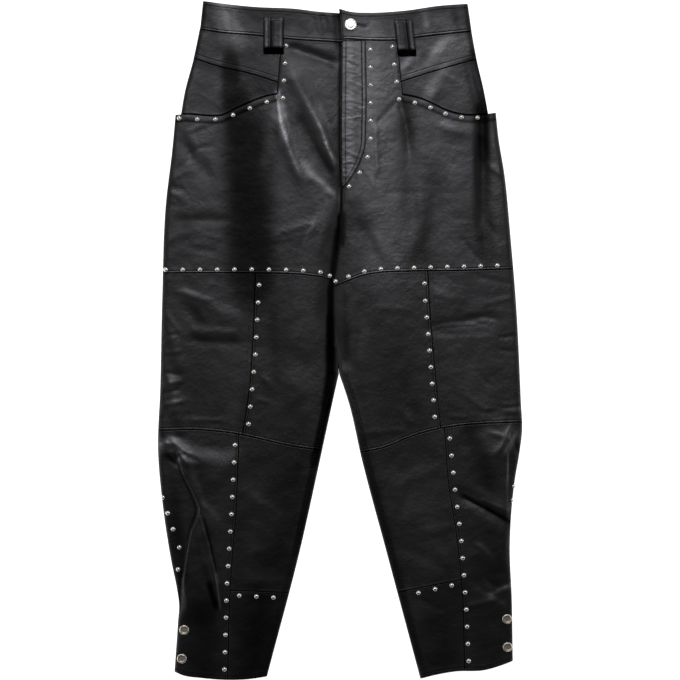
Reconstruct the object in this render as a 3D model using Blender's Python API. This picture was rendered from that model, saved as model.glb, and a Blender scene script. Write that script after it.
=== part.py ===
"""Studded leather trousers, laid flat on their back with the front up.

The frame: +X to the wearer's left, +Y to the waist, +Z up out of the front. The origin is on the
surface that the trousers lie on, at the middle of their outline. Tables and named sizes are in
millimetres, and the mesh is in metres.

Each piece of leather is a wall over its own patch of the surface. The patch lies between two side
curves, x at y, and two cross curves, y at x, which the pieces on both sides of a seam share.
"""

from collections import namedtuple
import math

import bmesh
import bpy
from mathutils import Vector
from mathutils.bvhtree import BVHTree
import numpy as np

MM = 0.001

# Leather
WALL = 1.6
BAND_WALL = 2.4
SEAM_GAP = 0.4  # between two pieces, in the seam and where one lies on the other
CROSS_GAP = 0.7  # in the seams that cross the garment, whose curves the mesh cuts short
MOUTH_GAP = 1.4  # more along the curved pocket mouths
VALLEY_GAP = 1.0  # more between the legs' fronts, where their meeting line curves
HIP_STEP = 1.6  # width of the thigh panels' corner at the end of the pocket mouth
THIGH_CORNER = -1.0  # the corner's outer column, from the hip seam
BACK_SIDE_INSET, BACK_INSET = 0.8, 1.0  # the backs' edges lie inside the fronts' sides and hems

# Levels above the surface
BACK_TOP = WALL
EDGE_TOP = BACK_TOP + SEAM_GAP + WALL  # outer face of a front panel at its folded side
SIDE_RISE = 3.2  # from there up to the middle of the panel
SIDE_ROUND = 9.0  # how far in from the side the rounding reaches
SIDE_COLUMN = 2.5  # mesh column inside the rounding
VALLEY_DROP, VALLEY_WIDTH = 2.6, 26.0  # the fold between the legs, below the middle of the panels
LAP_RISE = 1.1  # the wearer's left front lies on the right one at the fly
LAP_LEVEL, LAP_FADE = 45.0, 30.0  # level as far as this from the centre, then down again
LAP_FLAT_FADE = 12.0  # the folds start beyond the level part of the lap
FOLD_FADE = 14.0  # the folds fade out this near to a side
FACING_DROP = 1.3  # pocket facing, below the lip of the pocket mouth
BAND_TOP = 8.2
BAND_LAP, BAND_LAP_WIDTH = 1.0, 45.0
CROTCH_Y, CROTCH_FADE = -46.0, 20.0
FLY_LEVEL_Y, FLY_LEVEL_FADE = 185.0, 35.0  # the front is level under the fly down to here
VALLEY_FADE = 80.0  # the fold between the legs deepens over this length below the fly
HIP_FOOT_Y = 316.0  # the hips' sides end here, and the wider legs' sides start
FACING_SIDE_FADE = 20.0

# Hardware
STUD_RADIUS, STUD_HEIGHT, STUD_ROOT = 3.4, 1.9, 0.5
STUD_SIDES, STUD_RINGS = 8, 4
SHANK_RADIUS, SHANK_HEIGHT = 3.6, 0.9
TURN_SIDES = 20
SEAT_PLACES = 12  # places round a cap where the leather's height is taken

# Belt loops: two strips side by side, sewn down at both ends over a gap for the belt
LOOP_LENGTH, LOOP_FOOT = 47.0, 5.0
LOOP_WALL, LOOP_GAP = 1.8, 6.0
LOOP_BEND = 6.0
LOOP_FLAT = 0.1  # share of its puffed shape that a loop keeps at its feet
LOOP_CHANNEL, LOOP_PUFF = 1.2, 1.0
LOOP_COLUMNS = (-1, -0.8, -0.4, -0.08, 0.08, 0.4, 0.8, 1)
LOOP_SAMPLES = 9  # places across the foot where the leather's height is taken

# Fly strip
FLY_WALL, FLY_RIDGE = 1.2, 0.7
FLY_FOOT, FLY_HEAD = 213.5, 419.5
FLY_COLUMNS = (0, 0.35, 0.72, 0.86, 1)

# The mesh: cells across a piece between its sides' roundings, and rows of cells up it
Cells = namedtuple("Cells", "across rows")
CELLS = {
    "hip": Cells(5, 3),
    "thigh_right": Cells(6, 13), "thigh_left": Cells(6, 13),
    "knee": Cells(5, 10),
    "shin_outer_right": Cells(4, 20), "shin_outer_left": Cells(3, 16),
    "shin_inner": Cells(4, 10), "cuff_inner": Cells(3, 6),
    "waistband": Cells(6, 2), "waistband_back": Cells(6, 1),
    "back": Cells(5, 30),
}
FLY_ROWS = LOOP_ROWS = 14
THIGH_TOP_CELLS = 3  # across a thigh panel's upper part, between the hip seam and the centre
PATCH_ROUNDS = 30  # after as many steps the place where a row meets a column stays

Side = namedtuple("Side", "y x")
Cross = namedtuple("Cross", "x y")
Fold = namedtuple("Fold", "x0 y0 x1 y1 height half_width")
Studs = namedtuple("Studs", "panel count places")
Loop = namedtuple("Loop", "x y width lean")
Cap = namedtuple("Cap", "x y")
Turned = namedtuple("Turned", "finish radius height dish dish_share ring_share edge")
Step = namedtuple("Step", "edge way height drop low low_fade high high_fade settle settle_fade")


def through(rows):
    """The smooth curve through a table's rows, straight on past its ends."""
    along, value = np.array(sorted(tuple(row) for row in rows), float).T
    slope = np.gradient(value, along)

    def at(place):
        place = np.asarray(place, float)
        first = np.clip(np.searchsorted(along, place) - 1, 0, len(along) - 2)
        step = along[first + 1] - along[first]
        past = place - along[first]
        s = np.clip(past / step, 0, 1)
        start, end = value[first], value[first + 1]
        leave, arrive = slope[first] * step, slope[first + 1] * step
        inside = start + s * (leave + s * (3 * (end - start) - 2 * leave - arrive
                                           + s * (2 * (start - end) + leave + arrive)))
        beyond = np.where(past < 0, slope[first] * past, 0) + np.where(
            past > step, slope[first + 1] * (past - step), 0)
        return inside + beyond

    return at


def straight(y0, x0, y1, x1):
    """The straight side curve through two places."""
    return lambda y: x0 + (x1 - x0) * (np.asarray(y, float) - y0) / (y1 - y0)


def moved(curve, by):
    return lambda place: curve(place) + by


def split(upper, lower, at):
    """One curve above a level and another below it."""
    return lambda place: np.where(np.asarray(place) > at, upper(place), lower(place))


# Outline, seen from above: the right leg is at -X
CENTRE = through([Side(420, 2.8), Side(300, 1.8), Side(200, 1.4), Side(126, -5.6), Side(84, -10.5),
                  Side(30, -13), Side(-20, -4), Side(CROTCH_Y, -1.4)])
INNER_RIGHT = through([Side(CROTCH_Y, -1.4), Side(-84, -9.8), Side(-168, -28), Side(-294, -56),
                       Side(-470, -102)])
INNER_LEFT = through([Side(CROTCH_Y, -1.4), Side(-84, 11.2), Side(-168, 30.8), Side(-294, 64.4),
                      Side(-470, 111.5)])
SIDE_RIGHT = through([Side(316, -230.5), Side(266, -235.2), Side(196, -243.6), Side(56, -249.2),
                      Side(-70, -252), Side(-154, -255), Side(-224, -249.2), Side(-308, -236.6),
                      Side(-350, -228.2), Side(-371, -225.4), Side(-392, -226.8), Side(-466, -232)])
SIDE_LEFT = through([Side(318, 218.4), Side(280, 222.6), Side(238, 229.6), Side(140, 239.4),
                     Side(56, 246.4), Side(-84, 253.4), Side(-128, 255.1), Side(-154, 252),
                     Side(-196, 245), Side(-287, 238), Side(-364, 240.8), Side(-450, 242.2)])
HIP_SIDE_RIGHT = through([Side(434, -197), Side(392, -205.8), Side(350, -217), Side(312, -223.5)])
HIP_SIDE_LEFT = through([Side(434, 184), Side(392, 191.8), Side(350, 201.6), Side(312, 208.6)])
BAND_SIDE_RIGHT = straight(475, -191.8, 436, -196)
BAND_SIDE_LEFT = straight(470, 178.9, 433, 184.2)
BAND_END = straight(463.8, -1.6, 422.7, 2.1)

# Seams that run down the garment
FLY_EDGE = through([Side(420, 36.5), Side(300, 36.8), Side(268, 35), Side(248, 28),
                    Side(224, 14), Side(213, 4.5)])
HIP_SEAM_RIGHT = straight(345, -87, 416, -81.2)
HIP_SEAM_LEFT = straight(344, 86.6, 417, 79.1)
KNEE_SEAM_RIGHT = through([Side(94, -118), Side(2, -121.4), Side(-70, -126.6), Side(-130, -135.8)])
KNEE_SEAM_LEFT = through([Side(97, 122.5), Side(48, 125), Side(0, 128.8), Side(-123, 140.6)])
SHIN_SEAM_RIGHT = through([Side(-131, -141.8), Side(-246, -146.2), Side(-332, -153.2),
                           Side(-472, -157.5)])
SHIN_SEAM_LEFT = through([Side(-122, 146.6), Side(-209, 153.4), Side(-271, 163.2),
                          Side(-360, 172), Side(-466, 174.8)])

# Seams and edges that run across it
WAIST_TOP_RIGHT = through([Cross(-192, 475), Cross(-162, 470.8), Cross(-120, 466.6),
                           Cross(-62, 463.8), Cross(-28, 459.6), Cross(-2, 457.8)])
WAIST_TOP_LEFT = through([Cross(-1.5, 463.8), Cross(14, 459.6), Cross(42, 458.2),
                          Cross(90, 461), Cross(140, 468), Cross(179, 470.8)])
WAIST_TOP_BACK = through([Cross(-192, 471), Cross(-110, 461), Cross(-5, 454), Cross(90, 457),
                          Cross(179, 467)])
WAIST_SEAM_BACK = through([Cross(-197, 433), Cross(-110, 423), Cross(-5, 416), Cross(90, 419),
                           Cross(184, 430)])
WAIST_SEAM_RIGHT = through([Cross(-197, 436), Cross(-168, 431.6), Cross(-110, 426.7),
                            Cross(-78, 423), Cross(3, 417.6)])
WAIST_SEAM_LEFT = through([Cross(3, 422.5), Cross(40, 420.6), Cross(76, 420.4),
                           Cross(108, 424.6), Cross(184, 433)])
YOKE_RIGHT = through([Cross(-204, 395.2), Cross(-172, 384.5), Cross(-127, 374.2),
                      Cross(-85, 361)])
YOKE_LEFT = through([Cross(84, 362), Cross(129, 376.4), Cross(191, 394.2)])
MOUTH_RIGHT = through([Cross(-231, 315.5), Cross(-215, 316.5), Cross(-191, 314.6),
                       Cross(-165, 315), Cross(-147, 323.8), Cross(-127, 332.9),
                       Cross(-105, 341), Cross(-87, 345)])
MOUTH_LEFT = through([Cross(87, 344), Cross(111, 338.9), Cross(129, 331.5), Cross(147, 322.8),
                      Cross(161, 318), Cross(178, 315.2), Cross(198, 316), Cross(218, 318.6)])
THIGH_SEAM_RIGHT = through([Cross(-245, 94.6), Cross(-118, 94.6), Cross(-70, 93.6),
                            Cross(-39, 91), Cross(-16, 85.6), Cross(-8, 80)])
THIGH_SEAM_LEFT = through([Cross(-12, 74), Cross(-5, 77.6), Cross(12, 84), Cross(31, 90.9),
                           Cross(57, 95.4), Cross(93, 97.1), Cross(165, 98), Cross(243, 100.5)])
CALF_SEAM_RIGHT = through([Cross(-252, -125.7), Cross(-195, -125), Cross(-141, -131.3),
                           Cross(-105, -139.2), Cross(-78, -145.5), Cross(-25, -154)])
CALF_SEAM_LEFT = through([Cross(28, -156), Cross(48, -153.1), Cross(66, -148.2),
                          Cross(93, -136.6), Cross(120, -127.6), Cross(165, -119.2),
                          Cross(209, -115.7), Cross(254, -113.9)])
CUFF_SEAM_RIGHT = through([Cross(-153, -350.6), Cross(-70, -353.6)])
CUFF_SEAM_LEFT = through([Cross(80, -353.5), Cross(94, -350.6), Cross(171, -335.2)])
HEM_RIGHT = through([Cross(-232, -464), Cross(-221, -468.7), Cross(-193, -473),
                     Cross(-126, -474.3), Cross(-101, -470.5)])
HEM_LEFT = through([Cross(111, -474.3), Cross(133, -468.7), Cross(161, -463.8),
                    Cross(203, -461.7), Cross(231, -453.3), Cross(242, -449)])

# The edges of the big folds on the lower legs
FOLD_EDGE_RIGHT = through([Side(-140, -232), Side(-160, -228), Side(-184, -221.5), Side(-212, -208),
                           Side(-237, -198.5), Side(-266, -208.6), Side(-312, -217), Side(-343, -221),
                           Side(-380, -225)])
FOLD_EDGE_LEFT = straight(-150, 235.2, -308, 234.6)
STEP_WIDTH = 4.0

# The step up to each fold: inside its edge by way, between two levels, settled at an x further in
STEPS = [
    Step(FOLD_EDGE_RIGHT, 1, 4.2, 0.6, -400, 40, -146, 30, -120, 60),
    Step(FOLD_EDGE_LEFT, -1, 1.6, 0.0, -330, 30, -140, 20, 170, 50),
]
SHIN_FOLD_COLUMNS = (14.0, 16.0)  # further in than the fold's edge, and than the side, at least

# The largest folds: ridges, and troughs where the height is negative
FOLDS = [
    Fold(-62, 405, -14, 390, -1.6, 7),
    Fold(-62, 362, -30, 300, 1.8, 10),
    Fold(-30, 300, -8, 236, 1.8, 9),
    Fold(-88, 300, -58, 236, 1.4, 10),
    Fold(-134, 356, -132, 120, -1.8, 26),
    Fold(-226, 282, -192, 240, -1.3, 9),
    Fold(-216, 166, -152, 168, -1.2, 8),
    Fold(-84, 146, -45, 157, 1.4, 9),
    Fold(96, 280, 100, 180, -1.6, 12),
    Fold(196, 352, 206, 140, -1.5, 10),
    Fold(132, 210, 138, 110, -1.1, 18),
    Fold(36, 170, 46, 126, -1.2, 9),
    Fold(134, 18, 208, 28, -1.2, 8),
    Fold(-236, 8, -226, -30, 1.3, 8),
    Fold(-238, -60, -228, -104, 1.3, 8),
    Fold(-236, -140, -205, -150, 2.2, 13),
    Fold(-196, -246, -184, -284, -2.4, 7),
    Fold(-184, -284, -170, -376, -3.0, 8),
    Fold(172, -218, 228, -252, -1.6, 9),
    Fold(232, -136, 240, -150, 1.6, 12),
    Fold(204, -344, 238, -362, -1.4, 9),
    Fold(-116, -10, -60, -30, -1.0, 22),
]

STUD_LINES = [
    Studs("thigh_right", 4, [(-75.6, 412.4), (-79.9, 339.7)]),
    Studs("thigh_right", 6, [(-102.5, 334), (-127.3, 325), (-147, 316.4), (-172, 309.8),
                             (-197, 309.4), (-225.1, 311)]),
    Studs("thigh_left", 4, [(73.6, 411), (75.9, 387), (82.6, 337.8)]),
    Studs("thigh_left", 5, [(104.7, 332.8), (128.4, 325.6), (147.1, 317.6), (169.3, 312.4),
                            (192.9, 312)]),
    Studs("thigh_left", 6, [(42.4, 407.2), (42.5, 282.5)]),
    Studs("thigh_left", 3, [(38.4, 256.8), (27.4, 234.9), (12.5, 215.7)]),
    Studs("thigh_right", 10, [(-244.2, 98.9), (-120, 99.6), (-60, 98.8), (-27.4, 95.6)]),
    Studs("thigh_right", 1, [(-14, 90.6)]),
    Studs("thigh_left", 1, [(-6.6, 82.8)]),
    Studs("thigh_left", 10, [(11.9, 89.6), (35.8, 97.4), (59.1, 100.6), (130, 102.6),
                             (220.1, 104.9)]),
    Studs("knee_inner_right", 9, [(-113.3, 77.6), (-118.3, -19.5), (-128, -117)]),
    Studs("knee_inner_left", 1, [(118.2, 80)]),
    Studs("knee_inner_left", 8, [(119.3, 55.4), (125.4, -14.1), (132.6, -106.9)]),
    Studs("shin_outer_right", 14, [(-146.9, -146.5), (-152, -244.9), (-158.3, -345.5),
                                   (-161.8, -460.7)]),
    Studs("shin_outer_left", 14, [(153.7, -137.3), (161, -208.3), (170, -280.6),
                                  (176.7, -375.6), (180.2, -448.9)]),
    Studs("cuff_inner_right", 3, [(-141, -357.2), (-93.2, -360)]),
    Studs("cuff_inner_left", 3, [(109.8, -353.5), (156.4, -343.1)]),
    Studs("shin_outer_right", 2, [(-248.6, -220.2), (-241.2, -241.9)]),
    Studs("shin_outer_right", 1, [(-233.5, -264.3)]),
    Studs("shin_outer_right", 2, [(-224.8, -289.9), (-226.4, -320.7)]),
    Studs("shin_outer_left", 2, [(244, -204.5), (241.4, -224.4)]),
]

LOOPS = {
    "belt_loop_right": Loop(-92.8, 428.4, 28.0, 0.0),
    "belt_loop_left": Loop(91.0, 425.2, 26.0, 0.12),
}
SNAPS = {
    "hem_snap_right_upper": Cap(-217.9, -405.4),
    "hem_snap_right_lower": Cap(-221.2, -445.5),
    "hem_snap_left_upper": Cap(233.5, -390),
    "hem_snap_left_lower": Cap(234.3, -429.3),
}
BUTTON = Cap(14.8, 441.4)
SNAP_SHAPE = Turned("brass", 6.9, 2.6, 0.5, 0.62, 0.74, 0.3)
BUTTON_SHAPE = Turned("nickel", 8.6, 3.4, 0.4, 0.55, 0.72, 0.5)

LEATHER_COLOUR = (0.012, 0.012, 0.013, 1)
NICKEL_COLOUR = (0.72, 0.70, 0.66, 1)
BRASS_COLOUR = (0.55, 0.46, 0.33, 1)


def ease(value):
    """From 0 to 1, level at both ends."""
    value = np.clip(value, 0, 1)
    return value * value * (3 - 2 * value)


def rounding(inward):
    """A quarter round: 0 on the side, 1 from SIDE_ROUND inward."""
    left = 1 - np.clip(inward / SIDE_ROUND, 0, 1)
    return np.sqrt(1 - left * left)


def fold_height(x, y):
    """The sum of all the folds at a place, each fading away round its line."""
    total = np.zeros(np.broadcast(x, y).shape)
    for fold in FOLDS:
        run_x, run_y = fold.x1 - fold.x0, fold.y1 - fold.y0
        share = ((x - fold.x0) * run_x + (y - fold.y0) * run_y) / (run_x ** 2 + run_y ** 2)
        share = np.clip(share, 0, 1)
        away = np.hypot(x - fold.x0 - share * run_x, y - fold.y0 - share * run_y)
        total += fold.height * np.exp(-((away / fold.half_width) ** 2))
    return total


def fold_step(x, y):
    """The step up at the edge of the big fold on each lower leg."""
    total = 0
    for step in STEPS:
        along = ease((y - step.low) / step.low_fade) * ease((step.high - y) / step.high_fade)
        inside = ease(0.5 + step.way * (x - step.edge(y)) / STEP_WIDTH)
        settled = ease(step.way * (step.settle - x) / step.settle_fade)
        total = total + along * (step.height * inside * settled - step.drop * (1 - inside))
    return total


def front_height(x, y, hips=False):
    """The outer face of the front leather above the surface."""
    x, y = np.asarray(x, float), np.asarray(y, float)
    on_right = x < CENTRE(np.maximum(y, CROTCH_Y))
    side_right = HIP_SIDE_RIGHT(y) if hips else SIDE_RIGHT(y)
    side_left = HIP_SIDE_LEFT(y) if hips else SIDE_LEFT(y)
    from_side = np.where(on_right, x - side_right, side_left - x)
    inner = np.where(on_right, INNER_RIGHT(y), INNER_LEFT(y))
    inner = np.where(y > CROTCH_Y, CENTRE(y), inner)
    from_inner = np.abs(inner - x)
    leg = ease((CROTCH_Y + CROTCH_FADE - y) / CROTCH_FADE)  # 1 where the legs are apart
    height = EDGE_TOP + SIDE_RISE * rounding(from_side)
    height -= leg * SIDE_RISE * (1 - rounding(from_inner))
    valley = ease((FLY_LEVEL_Y - y) / VALLEY_FADE) * (1 - leg)
    height -= valley * VALLEY_DROP * (1 - ease(from_inner / VALLEY_WIDTH))
    by_fly = np.where(on_right, 0, ease((y - FLY_LEVEL_Y + FLY_LEVEL_FADE) / FLY_LEVEL_FADE))
    height += LAP_RISE * by_fly * (1 - ease((from_inner - LAP_LEVEL) / LAP_FADE))
    nearest = np.where(leg > 0, np.minimum(from_side, from_inner), from_side)
    inland = ease(nearest / FOLD_FADE)
    loose = 1 - by_fly * (1 - ease((from_inner - LAP_LEVEL) / LAP_FLAT_FADE))
    return height + fold_height(x, y) * inland * loose + fold_step(x, y) * inland


def facing_height(x, y):
    """The pocket facing, level with the yoke at its seam and below the lip at the mouth."""
    yoke = np.where(x < 0, YOKE_RIGHT(x), YOKE_LEFT(x))
    mouth = np.where(x < 0, MOUTH_RIGHT(x), MOUTH_LEFT(x))
    down = np.clip((yoke - y) / np.maximum(yoke - mouth, 1), 0, 1)
    inward = np.where(x < 0, x - HIP_SIDE_RIGHT(y), HIP_SIDE_LEFT(y) - x)
    return front_height(x, y, hips=True) - FACING_DROP * down * ease(inward / FACING_SIDE_FADE)


def yoke_height(x, y):
    return front_height(x, y, hips=True)


def band_height(x, y):
    """The front waistband: level, round at the sides, and raised where it laps."""
    from_side = np.where(x < 0, x - BAND_SIDE_RIGHT(y), BAND_SIDE_LEFT(y) - x)
    from_end = x - BAND_END(y)
    lap = np.where(from_end > 0, 1 - ease(from_end / BAND_LAP_WIDTH), 0)
    return BAND_TOP - SIDE_RISE * (1 - rounding(from_side)) + BAND_LAP * lap


def level(height):
    return lambda x, y: np.full(np.broadcast(x, y).shape, height)


def between(first, last, cells):
    """Side curves from one to another, with that many cells between them."""
    return [
        lambda y, share=step / cells: first(y) * (1 - share) + last(y) * share
        for step in range(cells + 1)
    ]


def side_columns(side, inward):
    """A folded side and the column in its rounding; inward is +1 or -1."""
    columns = [moved(side, inward * SEAM_GAP / 2), moved(side, inward * SIDE_COLUMN)]
    return columns if inward > 0 else columns[::-1]


def patch(columns, bottoms, tops, rows):
    """Places on a patch: a row of x and a row of y for each step from bottom to top."""
    xs, ys = np.zeros((rows + 1, len(columns))), np.zeros((rows + 1, len(columns)))
    for place, (column, bottom, top) in enumerate(zip(columns, bottoms, tops)):
        for row in range(rows + 1):
            share = row / rows
            x = float(column(0.0))
            for _ in range(PATCH_ROUNDS):
                low, high = bottom(x) + CROSS_GAP / 2, top(x) - CROSS_GAP / 2
                y = float(low * (1 - share) + high * share)
                x = float(column(y))
            xs[row, place], ys[row, place] = x, y
    return xs, ys


def collection(name, seen=True):
    made = bpy.data.collections.new(name)
    made.hide_render = not seen
    bpy.context.scene.collection.children.link(made)
    return made


def material(name, colour, roughness, metallic):
    made = bpy.data.materials.new(name)
    made.use_nodes = True
    shader = made.node_tree.nodes["Principled BSDF"]
    shader.inputs["Base Color"].default_value = colour
    shader.inputs["Roughness"].default_value = roughness
    shader.inputs["Metallic"].default_value = metallic
    return made


def add_object(name, bm, finish, group):
    mesh = bpy.data.meshes.new(name)
    bm.to_mesh(mesh)
    bm.free()
    obj = bpy.data.objects.new(name, mesh)
    if finish:
        mesh.materials.append(finish)
    group.objects.link(obj)
    return obj


def add_wall(name, columns, bottoms, tops, height, rows, group, wall=WALL):
    """A piece of leather: a grid laid on its patch, thickened straight down."""
    if callable(bottoms):
        bottoms = [bottoms] * len(columns)
    if callable(tops):
        tops = [tops] * len(columns)
    xs, ys = patch(columns, bottoms, tops, rows)
    zs = height(xs, ys)
    bm = bmesh.new()
    bmesh.ops.create_grid(bm, x_segments=len(columns) - 1, y_segments=rows, size=1)
    bm.verts.ensure_lookup_table()
    for vert, x, y, z in zip(bm.verts, xs.ravel(), ys.ravel(), zs.ravel()):
        vert.co = Vector((x, y, z)) * MM
    made = bmesh.ops.extrude_face_region(bm, geom=bm.faces[:])
    lower = [item for item in made["geom"] if isinstance(item, bmesh.types.BMVert)]
    bmesh.ops.translate(bm, verts=lower, vec=Vector((0, 0, -wall * MM)))
    bmesh.ops.recalc_face_normals(bm, faces=bm.faces[:])
    return add_object(name, bm, FINISH["leather"], group)


def face_finder(obj):
    """A function for the height of an object's upper face at a place, or at its nearest edge."""
    bm = bmesh.new()
    bm.from_mesh(obj.data)
    tree = BVHTree.FromBMesh(bm)
    bm.free()

    def face_height(x, y):
        above = Vector((x, y, 20)) * MM
        hit = tree.ray_cast(above, Vector((0, 0, -1)))[0] or tree.find_nearest(above)[0]
        return hit.z / MM

    return face_height


def spread(places, count):
    """That many places, evenly spaced along the line through the given ones."""
    points = np.array(places, float)
    run = np.concatenate([[0], np.cumsum(np.hypot(*np.diff(points, axis=0).T))])
    at = np.linspace(0, run[-1], count)
    return np.stack([np.interp(at, run, points[:, axis]) for axis in (0, 1)], axis=1)


def dome():
    """A stud's head, with a short root that sinks into the leather."""
    bm = bmesh.new()
    bmesh.ops.create_uvsphere(bm, u_segments=STUD_SIDES, v_segments=STUD_RINGS, radius=1)
    bmesh.ops.scale(bm, verts=bm.verts, vec=Vector((STUD_RADIUS, STUD_RADIUS, STUD_HEIGHT)) * MM)
    cut = bmesh.ops.bisect_plane(bm, geom=[*bm.verts, *bm.edges, *bm.faces],
                                 plane_co=(0, 0, -STUD_ROOT * MM), plane_no=(0, 0, -1),
                                 clear_outer=True)
    rim = [item for item in cut["geom_cut"] if isinstance(item, bmesh.types.BMEdge)]
    bmesh.ops.holes_fill(bm, edges=rim, sides=0)
    mesh = bpy.data.meshes.new("dome")
    bm.to_mesh(mesh)
    bm.free()
    return mesh


def add_studs(panels, cutters):
    """The studs, riveted through their panels: each is one with its wall's outer face."""
    head = dome()
    gathered = {}
    for line in STUD_LINES:
        bm = gathered.setdefault(line.panel, bmesh.new())
        face_height = face_finder(panels[line.panel])
        for x, y in spread(line.places, line.count):
            before = len(bm.verts)
            bm.from_mesh(head)
            bm.verts.ensure_lookup_table()
            place = Vector((x, y, face_height(x, y))) * MM
            bmesh.ops.translate(bm, verts=bm.verts[before:], vec=place)
    for name, bm in gathered.items():
        bmesh.ops.recalc_face_normals(bm, faces=bm.faces[:])
        studs = add_object(f"studs_of_{name}", bm, FINISH["nickel"], cutters)
        studs.hide_render = True
        studs.display_type = "WIRE"
        union = panels[name].modifiers.new("studs", "BOOLEAN")
        union.operation = "UNION"
        union.object = studs
    bpy.data.meshes.remove(head)


def seat_height(panel, cap, radius):
    """Where a shank's foot stands, so that it and the rim above it just clear the leather."""
    face_height = face_finder(panel)
    turns = np.linspace(0, math.tau, SEAT_PLACES, endpoint=False)

    def highest(reach):
        return max(face_height(cap.x + reach * math.cos(t), cap.y + reach * math.sin(t)) for t in turns)

    return max(highest(SHANK_RADIUS), highest(radius) - SHANK_HEIGHT) + SEAM_GAP


def cap_profile(shape):
    """A bare cap with a rolled rim, on its shank, from the top centre to the bottom centre."""
    radius, top, under = shape.radius, shape.height, SHANK_HEIGHT
    dish = top - shape.dish
    return [
        (0, dish), (radius * shape.dish_share, dish), (radius * shape.ring_share, top),
        (radius * 0.93, top - 0.5), (radius, under + shape.edge), (radius * 0.9, under),
        (SHANK_RADIUS, under), (SHANK_RADIUS, 0), (0, 0),
    ]


def add_cap(name, cap, shape, panel, group):
    """A snap or a button: its profile turned round a vertical axis, on the leather under it."""
    bm = bmesh.new()
    verts = [bm.verts.new(Vector((radius, 0, z)) * MM) for radius, z in cap_profile(shape)]
    edges = [bm.edges.new(pair) for pair in zip(verts, verts[1:])]
    bmesh.ops.spin(bm, geom=[*verts, *edges], axis=(0, 0, 1), cent=(0, 0, 0),
                   angle=math.tau, steps=TURN_SIDES, use_merge=True)
    bmesh.ops.remove_doubles(bm, verts=bm.verts, dist=1e-6)
    bmesh.ops.recalc_face_normals(bm, faces=bm.faces[:])
    obj = add_object(name, bm, FINISH[shape.finish], group)
    obj.location = Vector((cap.x, cap.y, seat_height(panel, cap, shape.radius))) * MM
    return obj


def add_fly(panel, group):
    """The fly strip on the left front, with a stitched ridge by its edge, and its foot turned in."""
    inner = moved(CENTRE, SEAM_GAP)
    columns = [
        lambda y, share=share: inner(y) * (1 - share) + FLY_EDGE(y) * share
        for share in FLY_COLUMNS
    ]

    def height(xs, ys):
        panel_height = np.vectorize(face_finder(panel))(xs, ys)
        lift = SEAM_GAP + FLY_WALL + np.array([0, 0, 0, FLY_RIDGE, 0])
        return panel_height + lift

    return add_wall("fly", columns, across(FLY_FOOT), across(FLY_HEAD), height, FLY_ROWS, group,
                    FLY_WALL)


def add_loop(name, loop, group):
    """A belt loop: feet on the leather, an arch between them and a channel down its middle."""
    low, high = loop.y - LOOP_LENGTH / 2, loop.y + LOOP_LENGTH / 2
    half = loop.width / 2
    sway = loop.lean * LOOP_LENGTH / 2
    axis = straight(low, loop.x + sway, high, loop.x - sway)
    foot_x = np.linspace(-half, half, LOOP_SAMPLES) + axis(low)
    foot_x, foot_y = np.meshgrid(foot_x, [low, low + LOOP_FOOT])
    low_seat = front_height(foot_x, foot_y).max()

    def height(xs, ys):
        up = ease((ys - low - LOOP_FOOT) / LOOP_BEND)
        arch = np.minimum(up, ease((high - LOOP_FOOT - ys) / LOOP_BEND))
        seat = low_seat + (BAND_TOP - low_seat) * up
        low_edge, low_middle = -LOOP_PUFF, -LOOP_CHANNEL
        profile = np.array([low_edge, 0, 0, low_middle, low_middle, 0, 0, low_edge])
        puff = (LOOP_CHANNEL + profile) * (LOOP_FLAT + (1 - LOOP_FLAT) * arch)
        return seat + SEAM_GAP + LOOP_WALL + LOOP_GAP * arch + puff

    columns = [moved(axis, half * share) for share in LOOP_COLUMNS]
    return add_wall(name, columns, across(low), across(high), height, LOOP_ROWS, group, LOOP_WALL)


def across(y):
    return lambda x: y


def inside(curve, direction):
    """A seam's curve moved by half the gap to one side of it."""
    return moved(curve, direction * SEAM_GAP / 2)


def add_hips(side, hip_side, hip_seam, waist, yoke, mouth, way, group):
    """A hip yoke and the pocket facing below it, between the folded side and the hip seam."""
    seam = moved(hip_seam, -way * HIP_STEP)
    rest = between(moved(hip_side, way * SIDE_ROUND), seam, CELLS["hip"].across)
    rim = [moved(hip_side, way * SEAM_GAP / 2), moved(hip_side, way * SIDE_COLUMN)]
    columns = (rim + rest)[::way]
    rows = CELLS["hip"].rows
    yoke_name, facing_name = f"hip_yoke_{side}", f"pocket_facing_{side}"
    return {
        yoke_name: add_wall(yoke_name, columns, yoke, waist, yoke_height, rows, group),
        facing_name: add_wall(facing_name, columns, moved(mouth, MOUTH_GAP), yoke, facing_height,
                              rows, group),
    }


def add_thigh(side, low, high, seam, mouth, waist, group):
    """A thigh panel: below the pocket mouth as far as the hip seam, then up to the waist."""
    name = f"thigh_{side}"
    pairs = [(column, mouth) for column in low]
    upper = [(column, waist) for column in high]
    pairs = pairs + upper if side == "right" else upper + pairs
    columns, tops = zip(*pairs)
    return add_wall(name, columns, seam, tops, front_height, CELLS[name].rows, group)


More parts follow.
